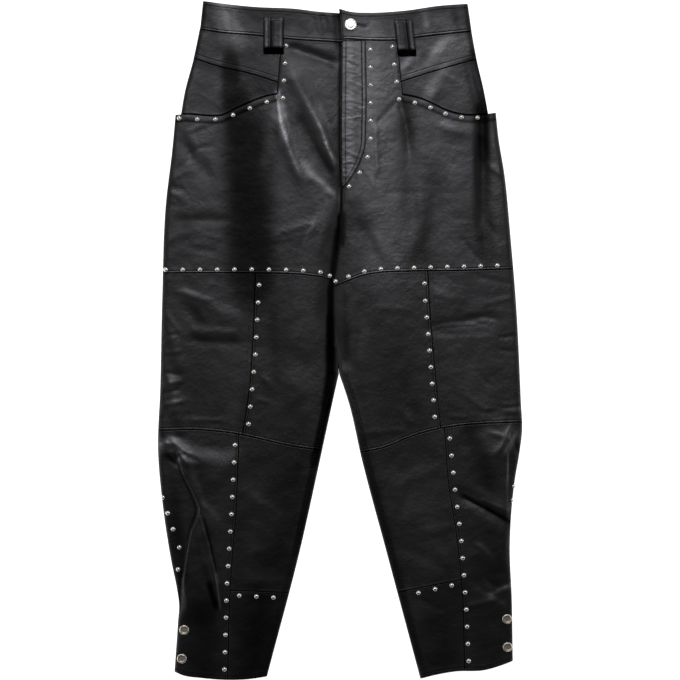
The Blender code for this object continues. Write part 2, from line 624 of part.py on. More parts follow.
def add_thighs(group):
    hip, centre = inside(HIP_SEAM_RIGHT, 1), inside(CENTRE, -1)
    foot = moved(hip, THIGH_CORNER)
    low = side_columns(SIDE_RIGHT, 1)
    low += between(moved(SIDE_RIGHT, SIDE_ROUND), foot, CELLS["thigh_right"].across)
    high = between(hip, moved(centre, -SIDE_ROUND), THIGH_TOP_CELLS) + [centre]
    right = add_thigh("right", low, high, THIGH_SEAM_RIGHT, MOUTH_RIGHT, WAIST_SEAM_RIGHT, group)
    hip, centre = inside(HIP_SEAM_LEFT, -1), inside(CENTRE, 1)
    foot = moved(hip, -THIGH_CORNER)
    low = between(foot, moved(SIDE_LEFT, -SIDE_ROUND), CELLS["thigh_left"].across)
    low += side_columns(SIDE_LEFT, -1)
    high = [centre] + between(moved(centre, SIDE_ROUND), hip, THIGH_TOP_CELLS)
    left = add_thigh("left", low, high, THIGH_SEAM_LEFT, MOUTH_LEFT, WAIST_SEAM_LEFT, group)
    return {"thigh_right": right, "thigh_left": left}


def leg_columns(outer, inner, way, cells):
    """Columns from a seam to a folded side: way is +1 when the side is at the greater x."""
    if way > 0:
        return between(outer, moved(inner, -SIDE_ROUND), cells) + side_columns(inner, -1)
    return side_columns(inner, 1) + between(moved(inner, SIDE_ROUND), outer, cells)


def add_knees(group):
    inner_right = split(moved(CENTRE, -VALLEY_GAP / 2), INNER_RIGHT, CROTCH_Y)
    inner_left = split(moved(CENTRE, VALLEY_GAP / 2), INNER_LEFT, CROTCH_Y)
    rows = [
        ("knee_outer_right", inside(KNEE_SEAM_RIGHT, -1), SIDE_RIGHT, -1, CALF_SEAM_RIGHT,
         THIGH_SEAM_RIGHT),
        ("knee_inner_right", inside(KNEE_SEAM_RIGHT, 1), inner_right, 1, CALF_SEAM_RIGHT,
         THIGH_SEAM_RIGHT),
        ("knee_inner_left", inside(KNEE_SEAM_LEFT, -1), inner_left, -1, CALF_SEAM_LEFT,
         THIGH_SEAM_LEFT),
        ("knee_outer_left", inside(KNEE_SEAM_LEFT, 1), SIDE_LEFT, 1, CALF_SEAM_LEFT,
         THIGH_SEAM_LEFT),
    ]
    return {
        name: add_wall(name, leg_columns(seam, side, way, CELLS["knee"].across), bottom, top,
                       front_height, CELLS["knee"].rows, group)
        for name, seam, side, way, bottom, top in rows
    }


def by_fold(away, least):
    """A column along the right fold's edge, at least that far in from the side."""
    return lambda y: np.maximum(FOLD_EDGE_RIGHT(y) + away, SIDE_RIGHT(y) + least)


def add_shins(group):
    """The lower legs. The right outer one has columns on both sides of the big fold's edge."""
    seam_right, seam_left = inside(SHIN_SEAM_RIGHT, 1), inside(SHIN_SEAM_LEFT, -1)
    right, left = CELLS["shin_outer_right"], CELLS["shin_outer_left"]
    fold = [by_fold(-STEP_WIDTH / 2, 2 * SIDE_COLUMN), by_fold(STEP_WIDTH / 2, SIDE_ROUND)]
    past_fold = between(by_fold(*SHIN_FOLD_COLUMNS), inside(SHIN_SEAM_RIGHT, -1), right.across)
    outer_right = side_columns(SIDE_RIGHT, 1) + fold + past_fold
    outer_left = leg_columns(inside(SHIN_SEAM_LEFT, 1), SIDE_LEFT, 1, left.across)
    shin, cuff = CELLS["shin_inner"], CELLS["cuff_inner"]
    rows = [
        ("shin_outer_right", outer_right, HEM_RIGHT, CALF_SEAM_RIGHT, right.rows),
        ("shin_inner_right", leg_columns(seam_right, INNER_RIGHT, 1, shin.across),
         CUFF_SEAM_RIGHT, CALF_SEAM_RIGHT, shin.rows),
        ("cuff_inner_right", leg_columns(seam_right, INNER_RIGHT, 1, cuff.across),
         HEM_RIGHT, CUFF_SEAM_RIGHT, cuff.rows),
        ("shin_outer_left", outer_left, HEM_LEFT, CALF_SEAM_LEFT, left.rows),
        ("shin_inner_left", leg_columns(seam_left, INNER_LEFT, -1, shin.across),
         CUFF_SEAM_LEFT, CALF_SEAM_LEFT, shin.rows),
        ("cuff_inner_left", leg_columns(seam_left, INNER_LEFT, -1, cuff.across),
         HEM_LEFT, CUFF_SEAM_LEFT, cuff.rows),
    ]
    return {
        name: add_wall(name, columns, bottom, top, front_height, count, group)
        for name, columns, bottom, top, count in rows
    }


def add_fronts(group):
    """Every front panel, from the hips to the hems."""
    panels = add_hips("right", HIP_SIDE_RIGHT, HIP_SEAM_RIGHT, WAIST_SEAM_RIGHT, YOKE_RIGHT,
                      MOUTH_RIGHT, 1, group)
    panels |= add_hips("left", HIP_SIDE_LEFT, HIP_SEAM_LEFT, WAIST_SEAM_LEFT, YOKE_LEFT,
                       MOUTH_LEFT, -1, group)
    return panels | add_thighs(group) | add_knees(group) | add_shins(group)


def add_waistband(group):
    """The band: two front halves that meet at the lapped end, and the back half under them."""
    cells, back_cells = CELLS["waistband"], CELLS["waistband_back"]
    gap = SEAM_GAP / 2
    right = [moved(BAND_SIDE_RIGHT, gap), moved(BAND_SIDE_RIGHT, SIDE_COLUMN)]
    right += between(moved(BAND_SIDE_RIGHT, SIDE_ROUND), moved(BAND_END, -gap), cells.across)
    left = between(moved(BAND_END, gap), moved(BAND_SIDE_LEFT, -SIDE_ROUND), cells.across)
    left += [moved(BAND_SIDE_LEFT, -SIDE_COLUMN), moved(BAND_SIDE_LEFT, -gap)]
    back = between(moved(BAND_SIDE_RIGHT, BACK_INSET), moved(BAND_SIDE_LEFT, -BACK_INSET),
                   back_cells.across)
    rows = [
        ("waistband_right", right, WAIST_SEAM_RIGHT, WAIST_TOP_RIGHT, band_height, cells.rows),
        ("waistband_left", left, WAIST_SEAM_LEFT, WAIST_TOP_LEFT, band_height, cells.rows),
        ("waistband_back", back, WAIST_SEAM_BACK, WAIST_TOP_BACK, level(BAND_WALL),
         back_cells.rows),
    ]
    return {
        name: add_wall(name, columns, bottom, top, height, count, group, BAND_WALL)
        for name, columns, bottom, top, height, count in rows
    }


def add_backs(group):
    """The back legs: whole pieces that lie flat, from the waist to the hems."""
    hip_right = moved(split(HIP_SIDE_RIGHT, SIDE_RIGHT, HIP_FOOT_Y), BACK_SIDE_INSET)
    hip_left = moved(split(HIP_SIDE_LEFT, SIDE_LEFT, HIP_FOOT_Y), -BACK_SIDE_INSET)
    inner_right = moved(split(CENTRE, INNER_RIGHT, CROTCH_Y), -BACK_SIDE_INSET)
    inner_left = moved(split(CENTRE, INNER_LEFT, CROTCH_Y), BACK_SIDE_INSET)
    cells = CELLS["back"]
    for name, columns, hem in (
        ("back_right", between(hip_right, inner_right, cells.across), HEM_RIGHT),
        ("back_left", between(inner_left, hip_left, cells.across), HEM_LEFT),
    ):
        add_wall(name, columns, moved(hem, BACK_INSET), WAIST_SEAM_BACK, level(BACK_TOP),
                 cells.rows, group)


def main():
    for obj in list(bpy.data.objects):
        bpy.data.objects.remove(obj, do_unlink=True)
    FINISH["leather"] = material("black leather", LEATHER_COLOUR, 0.38, 0)
    FINISH["nickel"] = material("nickel", NICKEL_COLOUR, 0.3, 1)
    FINISH["brass"] = material("aged brass", BRASS_COLOUR, 0.42, 1)
    group = collection("Studded leather trousers")
    cutters = collection("Cutters", seen=False)

    add_backs(group)
    panels = add_fronts(group)
    band = add_waistband(group)
    add_fly(panels["thigh_left"], group)
    for name, loop in LOOPS.items():
        add_loop(name, loop, group)
    for name, cap in SNAPS.items():
        side = "right" if cap.x < 0 else "left"
        add_cap(name, cap, SNAP_SHAPE, panels[f"shin_outer_{side}"], group)
    add_cap("waist_button", BUTTON, BUTTON_SHAPE, band["waistband_left"], group)
    add_studs(panels, cutters)


FINISH = {}
main()
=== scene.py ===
"""The looks of studded leather trousers that lie flat on their back.

Every piece of leather is a fine shell on the form of its CAD solid. Tables and named sizes are in
millimetres, in the frame of the part: +X to the wearer's left, +Y to the waist, +Z up.
"""

from collections import namedtuple
import math

import bmesh
import bpy
from mathutils import Matrix, Vector
import numpy as np


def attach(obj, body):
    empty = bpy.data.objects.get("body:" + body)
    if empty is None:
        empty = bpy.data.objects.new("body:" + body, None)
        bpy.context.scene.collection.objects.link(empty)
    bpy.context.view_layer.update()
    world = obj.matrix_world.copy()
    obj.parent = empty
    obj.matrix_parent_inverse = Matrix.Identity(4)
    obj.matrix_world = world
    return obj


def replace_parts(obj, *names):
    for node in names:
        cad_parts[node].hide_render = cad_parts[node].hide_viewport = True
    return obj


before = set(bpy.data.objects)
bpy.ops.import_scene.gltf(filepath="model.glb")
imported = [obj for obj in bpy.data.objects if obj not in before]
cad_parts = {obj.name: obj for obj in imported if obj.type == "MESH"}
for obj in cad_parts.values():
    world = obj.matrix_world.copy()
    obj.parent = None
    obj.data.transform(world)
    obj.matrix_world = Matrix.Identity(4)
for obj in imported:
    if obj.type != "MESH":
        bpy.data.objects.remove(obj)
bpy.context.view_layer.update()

MM = 0.001
BODY = "root"
MERGE = 1e-6  # metres, within which two points of a mesh are one
INWARD = {"right": 1, "left": -1}  # the way along X from a leg's outer side to its inner one
OUTER_SIDE = {"right": "left", "left": "right"}  # the side of a panel that is the leg's outer side

# Levels and seams of the CAD solids
WALL = 1.6
SEAM_GAP = 0.4
BACK_TOP = WALL
EDGE_TOP = BACK_TOP + SEAM_GAP + WALL
SIDE_RISE, SIDE_ROUND = 3.2, 9.0
VALLEY_DROP, VALLEY_WIDTH = 2.6, 26.0  # the fold between the legs, below the middle of the panels
LAP_RISE, LAP_LEVEL, LAP_FADE = 1.1, 45.0, 30.0  # the left front is higher where it laps the right
LAP_FLAT_FADE = 12.0  # the folds start beyond the level part of the lap
FOLD_FADE = 14.0  # the folds fade out this near to a side
FACING_DROP, FACING_SIDE_FADE = 1.3, 20.0
BAND_TOP, BAND_LAP, BAND_LAP_WIDTH = 8.2, 1.0, 45.0
CROTCH_Y, CROTCH_FADE = -46.0, 20.0
FLY_LEVEL_Y, FLY_LEVEL_FADE = 185.0, 35.0  # the front is level under the fly down to here
VALLEY_FADE = 80.0  # the fold between the legs deepens over this length below the fly
HIP_FOOT_Y = 316.0  # the hips' sides end here, and the wider legs' sides start
FLY_FOOT, FLY_HEAD = 213.5, 419.5
STUD_RADIUS, SNAP_RADIUS, BUTTON_RADIUS = 3.4, 6.9, 8.6
LOOP_LENGTH, LOOP_FOOT, LOOP_BEND, LOOP_WALL, LOOP_GAP = 47.0, 5.0, 6.0, 1.8, 6.0

END_TAPER = 2.0  # a fold fades out so many times its half width beyond its ends
SOFT_POWER, BAND_POWER = 2, 5  # how sharply a stroke ends at its sides
FOLD_BLEND, PAINTED_LIGHT_BLEND = 4, 20  # how nearly the strongest of the strokes at a place wins

Side = namedtuple("Side", "y x")
Cross = namedtuple("Cross", "x y")
Fold = namedtuple("Fold", "x0 y0 x1 y1 height half_width")
Studs = namedtuple("Studs", "panel count places")
Loop = namedtuple("Loop", "x y width lean")
Cap = namedtuple("Cap", "x y")
Ring = namedtuple("Ring", "share height")  # the share of the radius, and the height above the seat
Step = namedtuple("Step", "edge way height drop low low_fade high high_fade settle settle_fade")
Lap = namedtuple("Lap", "height width fade edge radius pressed")
Plan = namedtuple("Plan", "name outer inner bottom top kinds base")
Span = namedtuple("Span", "width length across along")
Chances = namedtuple("Chances", "start length slant shift height half_width")
PaintedLine = namedtuple("PaintedLine", "amount place width")
CrossSeam = namedtuple("CrossSeam", "panel curve right left offset")
DownSeam = namedtuple("DownSeam", "panel curve low high offset")
Stitches = namedtuple("Stitches", "panel way curve start end offset")
Relief = namedtuple("Relief", "strength distance")
Light = namedtuple("Light", "name place size power colour")


def through(rows):
    """The smooth curve through a table's rows, straight on past its ends."""
    along, value = np.array(sorted(tuple(row) for row in rows), float).T
    slope = np.gradient(value, along)

    def at(place):
        place = np.asarray(place, float)
        first = np.clip(np.searchsorted(along, place) - 1, 0, len(along) - 2)
        step = along[first + 1] - along[first]
        past = place - along[first]
        s = np.clip(past / step, 0, 1)
        start, end = value[first], value[first + 1]
        leave, arrive = slope[first] * step, slope[first + 1] * step
        inside = start + s * (leave + s * (3 * (end - start) - 2 * leave - arrive
                                           + s * (2 * (start - end) + leave + arrive)))
        beyond = np.where(past < 0, slope[first] * past, 0) + np.where(
            past > step, slope[first + 1] * (past - step), 0)
        return inside + beyond

    return at


def straight(y0, x0, y1, x1):
    """The straight side curve through two places."""
    return lambda y: x0 + (x1 - x0) * (np.asarray(y, float) - y0) / (y1 - y0)


def level_line(level):
    """The cross curve at one level."""
    return lambda x: level + 0 * x


def moved(curve, by):
    """The curve beside another one."""
    return lambda place: curve(place) + by


def split(upper, lower, at):
    """One curve above a level and another below it."""
    return lambda place: np.where(np.asarray(place) > at, upper(place), lower(place))


# Outline, seen from above: the right leg is at -X
CENTRE = through([Side(420, 2.8), Side(300, 1.8), Side(200, 1.4), Side(126, -5.6), Side(84, -10.5),
                  Side(30, -13), Side(-20, -4), Side(CROTCH_Y, -1.4)])
INNER_RIGHT = through([Side(CROTCH_Y, -1.4), Side(-84, -9.8), Side(-168, -28), Side(-294, -56),
                       Side(-470, -102)])
INNER_LEFT = through([Side(CROTCH_Y, -1.4), Side(-84, 11.2), Side(-168, 30.8), Side(-294, 64.4),
                      Side(-470, 111.5)])
SIDE_RIGHT = through([Side(316, -230.5), Side(266, -235.2), Side(196, -243.6), Side(56, -249.2),
                      Side(-70, -252), Side(-154, -255), Side(-224, -249.2), Side(-308, -236.6),
                      Side(-350, -228.2), Side(-371, -225.4), Side(-392, -226.8), Side(-466, -232)])
SIDE_LEFT = through([Side(318, 218.4), Side(280, 222.6), Side(238, 229.6), Side(140, 239.4),
                     Side(56, 246.4), Side(-84, 253.4), Side(-128, 255.1), Side(-154, 252),
                     Side(-196, 245), Side(-287, 238), Side(-364, 240.8), Side(-450, 242.2)])
HIP_SIDE_RIGHT = through([Side(434, -197), Side(392, -205.8), Side(350, -217), Side(312, -223.5)])
HIP_SIDE_LEFT = through([Side(434, 184), Side(392, 191.8), Side(350, 201.6), Side(312, 208.6)])
BAND_SIDE_RIGHT = straight(475, -191.8, 436, -196)
BAND_SIDE_LEFT = straight(470, 178.9, 433, 184.2)
BAND_END = straight(463.8, -1.6, 422.7, 2.1)

# Seams that run down the garment
FLY_EDGE = through([Side(420, 36.5), Side(300, 36.8), Side(268, 35), Side(248, 28),
                    Side(224, 14), Side(213, 4.5)])
HIP_SEAM_RIGHT = straight(345, -87, 416, -81.2)
HIP_SEAM_LEFT = straight(344, 86.6, 417, 79.1)
KNEE_SEAM_RIGHT = through([Side(94, -118), Side(2, -121.4), Side(-70, -126.6), Side(-130, -135.8)])
KNEE_SEAM_LEFT = through([Side(97, 122.5), Side(48, 125), Side(0, 128.8), Side(-123, 140.6)])
SHIN_SEAM_RIGHT = through([Side(-131, -141.8), Side(-246, -146.2), Side(-332, -153.2),
                           Side(-472, -157.5)])
SHIN_SEAM_LEFT = through([Side(-122, 146.6), Side(-209, 153.4), Side(-271, 163.2),
                          Side(-360, 172), Side(-466, 174.8)])

# Seams and edges that run across it
WAIST_TOP_RIGHT = through([Cross(-192, 475), Cross(-162, 470.8), Cross(-120, 466.6),
                           Cross(-62, 463.8), Cross(-28, 459.6), Cross(-2, 457.8)])
WAIST_TOP_LEFT = through([Cross(-1.5, 463.8), Cross(14, 459.6), Cross(42, 458.2),
                          Cross(90, 461), Cross(140, 468), Cross(179, 470.8)])
WAIST_TOP_BACK = through([Cross(-192, 471), Cross(-110, 461), Cross(-5, 454), Cross(90, 457),
                          Cross(179, 467)])
WAIST_SEAM_BACK = through([Cross(-197, 433), Cross(-110, 423), Cross(-5, 416), Cross(90, 419),
                           Cross(184, 430)])
WAIST_SEAM_RIGHT = through([Cross(-197, 436), Cross(-168, 431.6), Cross(-110, 426.7),
                            Cross(-78, 423), Cross(3, 417.6)])
WAIST_SEAM_LEFT = through([Cross(3, 422.5), Cross(40, 420.6), Cross(76, 420.4),
                           Cross(108, 424.6), Cross(184, 433)])
YOKE_RIGHT = through([Cross(-204, 395.2), Cross(-172, 384.5), Cross(-127, 374.2),
                      Cross(-85, 361)])
YOKE_LEFT = through([Cross(84, 362), Cross(129, 376.4), Cross(191, 394.2)])
MOUTH_RIGHT = through([Cross(-231, 315.5), Cross(-215, 316.5), Cross(-191, 314.6),
                       Cross(-165, 315), Cross(-147, 323.8), Cross(-127, 332.9),
                       Cross(-105, 341), Cross(-87, 345)])
MOUTH_LEFT = through([Cross(87, 344), Cross(111, 338.9), Cross(129, 331.5), Cross(147, 322.8),
                      Cross(161, 318), Cross(178, 315.2), Cross(198, 316), Cross(218, 318.6)])
THIGH_SEAM_RIGHT = through([Cross(-245, 94.6), Cross(-118, 94.6), Cross(-70, 93.6),
                            Cross(-39, 91), Cross(-16, 85.6), Cross(-8, 80)])
THIGH_SEAM_LEFT = through([Cross(-12, 74), Cross(-5, 77.6), Cross(12, 84), Cross(31, 90.9),
                           Cross(57, 95.4), Cross(93, 97.1), Cross(165, 98), Cross(243, 100.5)])
CALF_SEAM_RIGHT = through([Cross(-252, -125.7), Cross(-195, -125), Cross(-141, -131.3),
                           Cross(-105, -139.2), Cross(-78, -145.5), Cross(-25, -154)])
CALF_SEAM_LEFT = through([Cross(28, -156), Cross(48, -153.1), Cross(66, -148.2),
                          Cross(93, -136.6), Cross(120, -127.6), Cross(165, -119.2),
                          Cross(209, -115.7), Cross(254, -113.9)])
CUFF_SEAM_RIGHT = through([Cross(-153, -350.6), Cross(-70, -353.6)])
CUFF_SEAM_LEFT = through([Cross(80, -353.5), Cross(94, -350.6), Cross(171, -335.2)])
HEM_RIGHT = through([Cross(-232, -464), Cross(-221, -468.7), Cross(-193, -473),
                     Cross(-126, -474.3), Cross(-101, -470.5)])
HEM_LEFT = through([Cross(111, -474.3), Cross(133, -468.7), Cross(161, -463.8),
                    Cross(203, -461.7), Cross(231, -453.3), Cross(242, -449)])

# The big fold of the right lower leg, and the edge that the left one shows, as x at y
FOLD_EDGE_RIGHT = through([Side(-140, -232), Side(-160, -228), Side(-184, -221.5), Side(-212, -208),
                           Side(-237, -198.5), Side(-266, -208.6), Side(-312, -217), Side(-343, -221),
                           Side(-380, -225)])
FOLD_EDGE_LEFT = straight(-150, 235.2, -308, 234.6)
STEP_WIDTH = 4.0
STEPS = [
    Step(FOLD_EDGE_RIGHT, 1, 4.2, 0.6, -400, 40, -146, 30, -120, 60),
    Step(FOLD_EDGE_LEFT, -1, 1.6, 0.0, -330, 30, -140, 20, 170, 50),
]

# The largest folds: ridges, and troughs where the height is negative
FOLDS = [
    Fold(-62, 405, -14, 390, -1.6, 7),
    Fold(-62, 362, -30, 300, 1.8, 10),
    Fold(-30, 300, -8, 236, 1.8, 9),
    Fold(-88, 300, -58, 236, 1.4, 10),
    Fold(-134, 356, -132, 120, -1.8, 26),
    Fold(-226, 282, -192, 240, -1.3, 9),
    Fold(-216, 166, -152, 168, -1.2, 8),
    Fold(-84, 146, -45, 157, 0.8, 9),
    Fold(96, 280, 100, 180, -1.6, 12),
    Fold(196, 352, 206, 140, -1.5, 10),
    Fold(132, 210, 138, 110, -1.1, 18),
    Fold(36, 170, 46, 126, -1.2, 9),
    Fold(134, 18, 208, 28, -1.2, 8),
    Fold(-236, 8, -226, -30, 1.3, 8),
    Fold(-238, -60, -228, -104, 1.3, 8),
    Fold(-236, -150, -205, -160, 2.2, 12),
    Fold(-196, -246, -184, -284, -1.2, 6),
    Fold(-184, -284, -170, -376, -2.0, 7),
    Fold(172, -218, 228, -252, -1.6, 9),
    Fold(232, -136, 240, -150, 1.6, 12),
    Fold(204, -344, 238, -362, -1.4, 9),
    Fold(-116, -10, -60, -30, -1.0, 22),
]

STUD_LINES = [
    Studs("thigh_right", 4, [(-75.6, 412.4), (-79.9, 339.7)]),
    Studs("thigh_right", 6, [(-102.5, 334), (-127.3, 325), (-147, 316.4), (-172, 309.8),
                             (-197, 309.4), (-225.1, 311)]),
    Studs("thigh_left", 4, [(73.6, 411), (75.9, 387), (82.6, 337.8)]),
    Studs("thigh_left", 5, [(104.7, 332.8), (128.4, 325.6), (147.1, 317.6), (169.3, 312.4),
                            (192.9, 312)]),
    Studs("thigh_left", 6, [(42.4, 407.2), (42.5, 282.5)]),
    Studs("thigh_left", 3, [(38.4, 256.8), (27.4, 234.9), (12.5, 215.7)]),
    Studs("thigh_right", 10, [(-244.2, 98.9), (-120, 99.6), (-60, 98.8), (-27.4, 95.6)]),
    Studs("thigh_right", 1, [(-14, 90.6)]),
    Studs("thigh_left", 1, [(-6.6, 82.8)]),
    Studs("thigh_left", 10, [(11.9, 89.6), (35.8, 97.4), (59.1, 100.6), (130, 102.6),
                             (220.1, 104.9)]),
    Studs("knee_inner_right", 9, [(-113.3, 77.6), (-118.3, -19.5), (-128, -117)]),
    Studs("knee_inner_left", 1, [(118.2, 80)]),
    Studs("knee_inner_left", 8, [(119.3, 55.4), (125.4, -14.1), (132.6, -106.9)]),
    Studs("shin_outer_right", 14, [(-146.9, -146.5), (-152, -244.9), (-158.3, -345.5),
                                   (-161.8, -460.7)]),
    Studs("shin_outer_left", 14, [(153.7, -137.3), (161, -208.3), (170, -280.6),
                                  (176.7, -375.6), (180.2, -448.9)]),
    Studs("cuff_inner_right", 3, [(-141, -357.2), (-93.2, -360)]),
    Studs("cuff_inner_left", 3, [(109.8, -353.5), (156.4, -343.1)]),
    Studs("shin_outer_right", 2, [(-248.6, -220.2), (-241.2, -241.9)]),
    Studs("shin_outer_right", 1, [(-233.5, -264.3)]),
    Studs("shin_outer_right", 2, [(-224.8, -289.9), (-226.4, -320.7)]),
    Studs("shin_outer_left", 2, [(244, -204.5), (241.4, -224.4)]),
]

LOOPS = {
    "belt_loop_right": Loop(-92.8, 428.4, 28.0, 0.0),
    "belt_loop_left": Loop(91.0, 425.2, 26.0, 0.12),
}
SNAPS = {
    "hem_snap_right_upper": Cap(-217.9, -405.4),
    "hem_snap_right_lower": Cap(-221.2, -445.5),
    "hem_snap_left_upper": Cap(233.5, -390),
    "hem_snap_left_lower": Cap(234.3, -429.3),
}
BUTTON = Cap(14.8, 441.4)


def ease(value):
    """From 0 to 1, level at both ends."""
    value = np.clip(value, 0, 1)
    return value * value * (3 - 2 * value)


def rounding(inward):
    """A quarter round: 0 on the side, 1 from SIDE_ROUND inward."""
    left = 1 - np.clip(inward / SIDE_ROUND, 0, 1)
    return np.sqrt(1 - left * left)


def stroke(fold, x, y, power=SOFT_POWER):
    """How strongly a fold or a stroke is felt at a place: its height on its line, 0 far away."""
    run_x, run_y = fold.x1 - fold.x0, fold.y1 - fold.y0
    run = math.hypot(run_x, run_y)
    along = ((x - fold.x0) * run_x + (y - fold.y0) * run_y) / run
    across = ((x - fold.x0) * run_y - (y - fold.y0) * run_x) / run
    beyond = np.maximum(-along, along - run).clip(0) / END_TAPER
    return fold.height * np.exp(-((np.hypot(across, beyond) / fold.half_width) ** power))


def blend(strokes, power=FOLD_BLEND):
    """Many strokes as one: nearly the strongest ridge less the deepest trough at each place."""
    ridges = sum(np.maximum(each, 0) ** power for each in strokes)
    troughs = sum(np.maximum(-each, 0) ** power for each in strokes)
    return ridges ** (1 / power) - troughs ** (1 / power)


def fold_height(x, y):
    """All the large folds as one surface."""
    return blend([stroke(fold, x, y) for fold in FOLDS])


def fold_step(x, y):
    """The step up at the edge of the big fold on each lower leg."""
    total = 0
    for step in STEPS:
        along = ease((y - step.low) / step.low_fade) * ease((step.high - y) / step.high_fade)
        inside = ease(0.5 + step.way * (x - step.edge(y)) / STEP_WIDTH)
        settled = ease(step.way * (step.settle - x) / step.settle_fade)
        total = total + along * (step.height * inside * settled - step.drop * (1 - inside))
    return total


def front_height(x, y, hips=False):
    """The outer face of the front leather above the surface."""
    x, y = np.asarray(x, float), np.asarray(y, float)
    on_right = x < CENTRE(np.maximum(y, CROTCH_Y))
    side_right = HIP_SIDE_RIGHT(y) if hips else SIDE_RIGHT(y)
    side_left = HIP_SIDE_LEFT(y) if hips else SIDE_LEFT(y)
    from_side = np.where(on_right, x - side_right, side_left - x)
    inner = np.where(on_right, INNER_RIGHT(y), INNER_LEFT(y))
    inner = np.where(y > CROTCH_Y, CENTRE(y), inner)
    from_inner = np.abs(inner - x)
    leg = ease((CROTCH_Y + CROTCH_FADE - y) / CROTCH_FADE)  # 1 where the legs are apart
    height = EDGE_TOP + SIDE_RISE * rounding(from_side)
    height -= leg * SIDE_RISE * (1 - rounding(from_inner))
    valley = ease((FLY_LEVEL_Y - y) / VALLEY_FADE) * (1 - leg)
    height -= valley * VALLEY_DROP * (1 - ease(from_inner / VALLEY_WIDTH))
    by_fly = np.where(on_right, 0, ease((y - FLY_LEVEL_Y + FLY_LEVEL_FADE) / FLY_LEVEL_FADE))
    height += LAP_RISE * by_fly * (1 - ease((from_inner - LAP_LEVEL) / LAP_FADE))
    nearest = np.where(leg > 0, np.minimum(from_side, from_inner), from_side)
    inland = ease(nearest / FOLD_FADE)
    loose = 1 - by_fly * (1 - ease((from_inner - LAP_LEVEL) / LAP_FLAT_FADE))
    return height + fold_height(x, y) * inland * loose + fold_step(x, y) * inland


def facing_height(x, y):
    """The pocket facing, level with the yoke at its seam and below the lip at the mouth."""
    yoke = np.where(x < 0, YOKE_RIGHT(x), YOKE_LEFT(x))
    mouth = np.where(x < 0, MOUTH_RIGHT(x), MOUTH_LEFT(x))
    down = np.clip((yoke - y) / np.maximum(yoke - mouth, 1), 0, 1)
    inward = np.where(x < 0, x - HIP_SIDE_RIGHT(y), HIP_SIDE_LEFT(y) - x)
    return front_height(x, y, hips=True) - FACING_DROP * down * ease(inward / FACING_SIDE_FADE)


def yoke_height(x, y):
    """The hip yoke, which ends on the hips' sides."""
    return front_height(x, y, hips=True)


def band_height(x, y):
    """The front waistband: level, round at the sides, and raised where it laps."""
    from_side = np.where(x < 0, x - BAND_SIDE_RIGHT(y), BAND_SIDE_LEFT(y) - x)
    from_end = x - BAND_END(y)
    lap = np.where(from_end > 0, 1 - ease(from_end / BAND_LAP_WIDTH), 0)
    return BAND_TOP - SIDE_RISE * (1 - rounding(from_side)) + BAND_LAP * lap


# Leather shells, finer than the solids: thicknesses, and how far their edges lie from the curves
LEATHER, BACK_LEATHER, BAND_BACK_LEATHER, LOOP_LEATHER = 1.2, 1.3, 2.0, 1.5
TUCK = 2.0  # how far a panel runs in under its neighbour's lap
LOWEST = 2.6  # the shells' outer faces stay above the backs
CENTRE_GAP, HIP_COLUMN_GAP = 0.3, 0.3  # at the centre line, and between a thigh's two grids
BAND_UNDERLAP, BAND_OVERLAP, BAND_END_GAP = 6, 1.6, 0.2  # the left half lies on the right one
FLY_GAP = 0.25  # between the fly strip and the left front
BACK_INSET, BACK_GAP, HEM_INSET, BAND_BACK_GAP = 2.2, 0.1, 1, 0.3
BACK_SEAM, BACK_SEAM_FADE = 3.0, 30  # the backs' middle seam lies to the right of the fronts'
BACK_FLAT, BACK_FLAT_FADE = 16, 20  # the backs have no folds so near to their edges

# Mesh
CELL = 2.6  # mesh cell inside a panel
EDGE_SHARE = 0.46  # the close lines at an edge take no more than this share of a narrow panel
GRID_ROUNDS = 14  # rounds in which rows and columns settle on the panel's edges
SLOPE_STEP = 0.4
SKIRT_TURNS = ((0.0, 0.9), (0.25, 1.7), (0.9, 2.4), (1.9, 2.5))  # how far in, and how far down
SKIRT_STEP, SKIRT_TOP = 0.05, 0.1

# The forms of the edges
STITCH_DENT = 0.6  # half width of what a row of stitching presses in
APART_START, APART_FADE = 40, 60  # the legs come apart so far above the crotch, over this length
UNDER_DROP, UNDER_FADE = 1.3, 1.6  # an edge under a lap, and the width of its rise beside the lap
SWELL_HEIGHT, SWELL_PLACE, SWELL_WIDTH = 0.1, 2.1, 1.0  # a soft swell beside that
VALLEY_DENTS = ((1.5, 2.8), (0.8, 9))  # depth and half width, between the legs
REACH_WIDTHS, REACH = 3, 12  # a crease reaches so many half widths, and so far beyond them
LAP_START = 6  # the hip seam's lap starts over this length

# Painted light and shade beside the edges
MOST_DARKENED, CUT_EDGE = 0.85, 0.6  # the share taken by painted shade on stitching and by the darker cut edges, and a cut edge's width
SHADE, SHADE_WIDTH, SHADE_FADE = 0.85, 0.5, 1.4  # the painted shade beside a lap
EDGE_GLINT, GLINT_PLACE, GLINT_WIDTH = 0.9, 1.7, 0.8  # the painted highlight added along a lap
# the range that the painted light is held to
PAINTED_LIGHT_LEAST, PAINTED_LIGHT_MOST = 0.02, 6

# The fly strip's creases, which are drawn at random: their pitch and ends, and the ranges
FLY_SEED = 7
FLY_PLAIN_FOOT, FLY_PLAIN_HEAD, FLY_CREASE_PITCH, FLY_CREASE_END = 10, 2, 2.9, 28.5
FLY_CREASE = Chances((3, 20), (4, 13), (-0.55, 0.3), (-2.5, 2.5), (-0.24, 0.3), (0.9, 2.6))

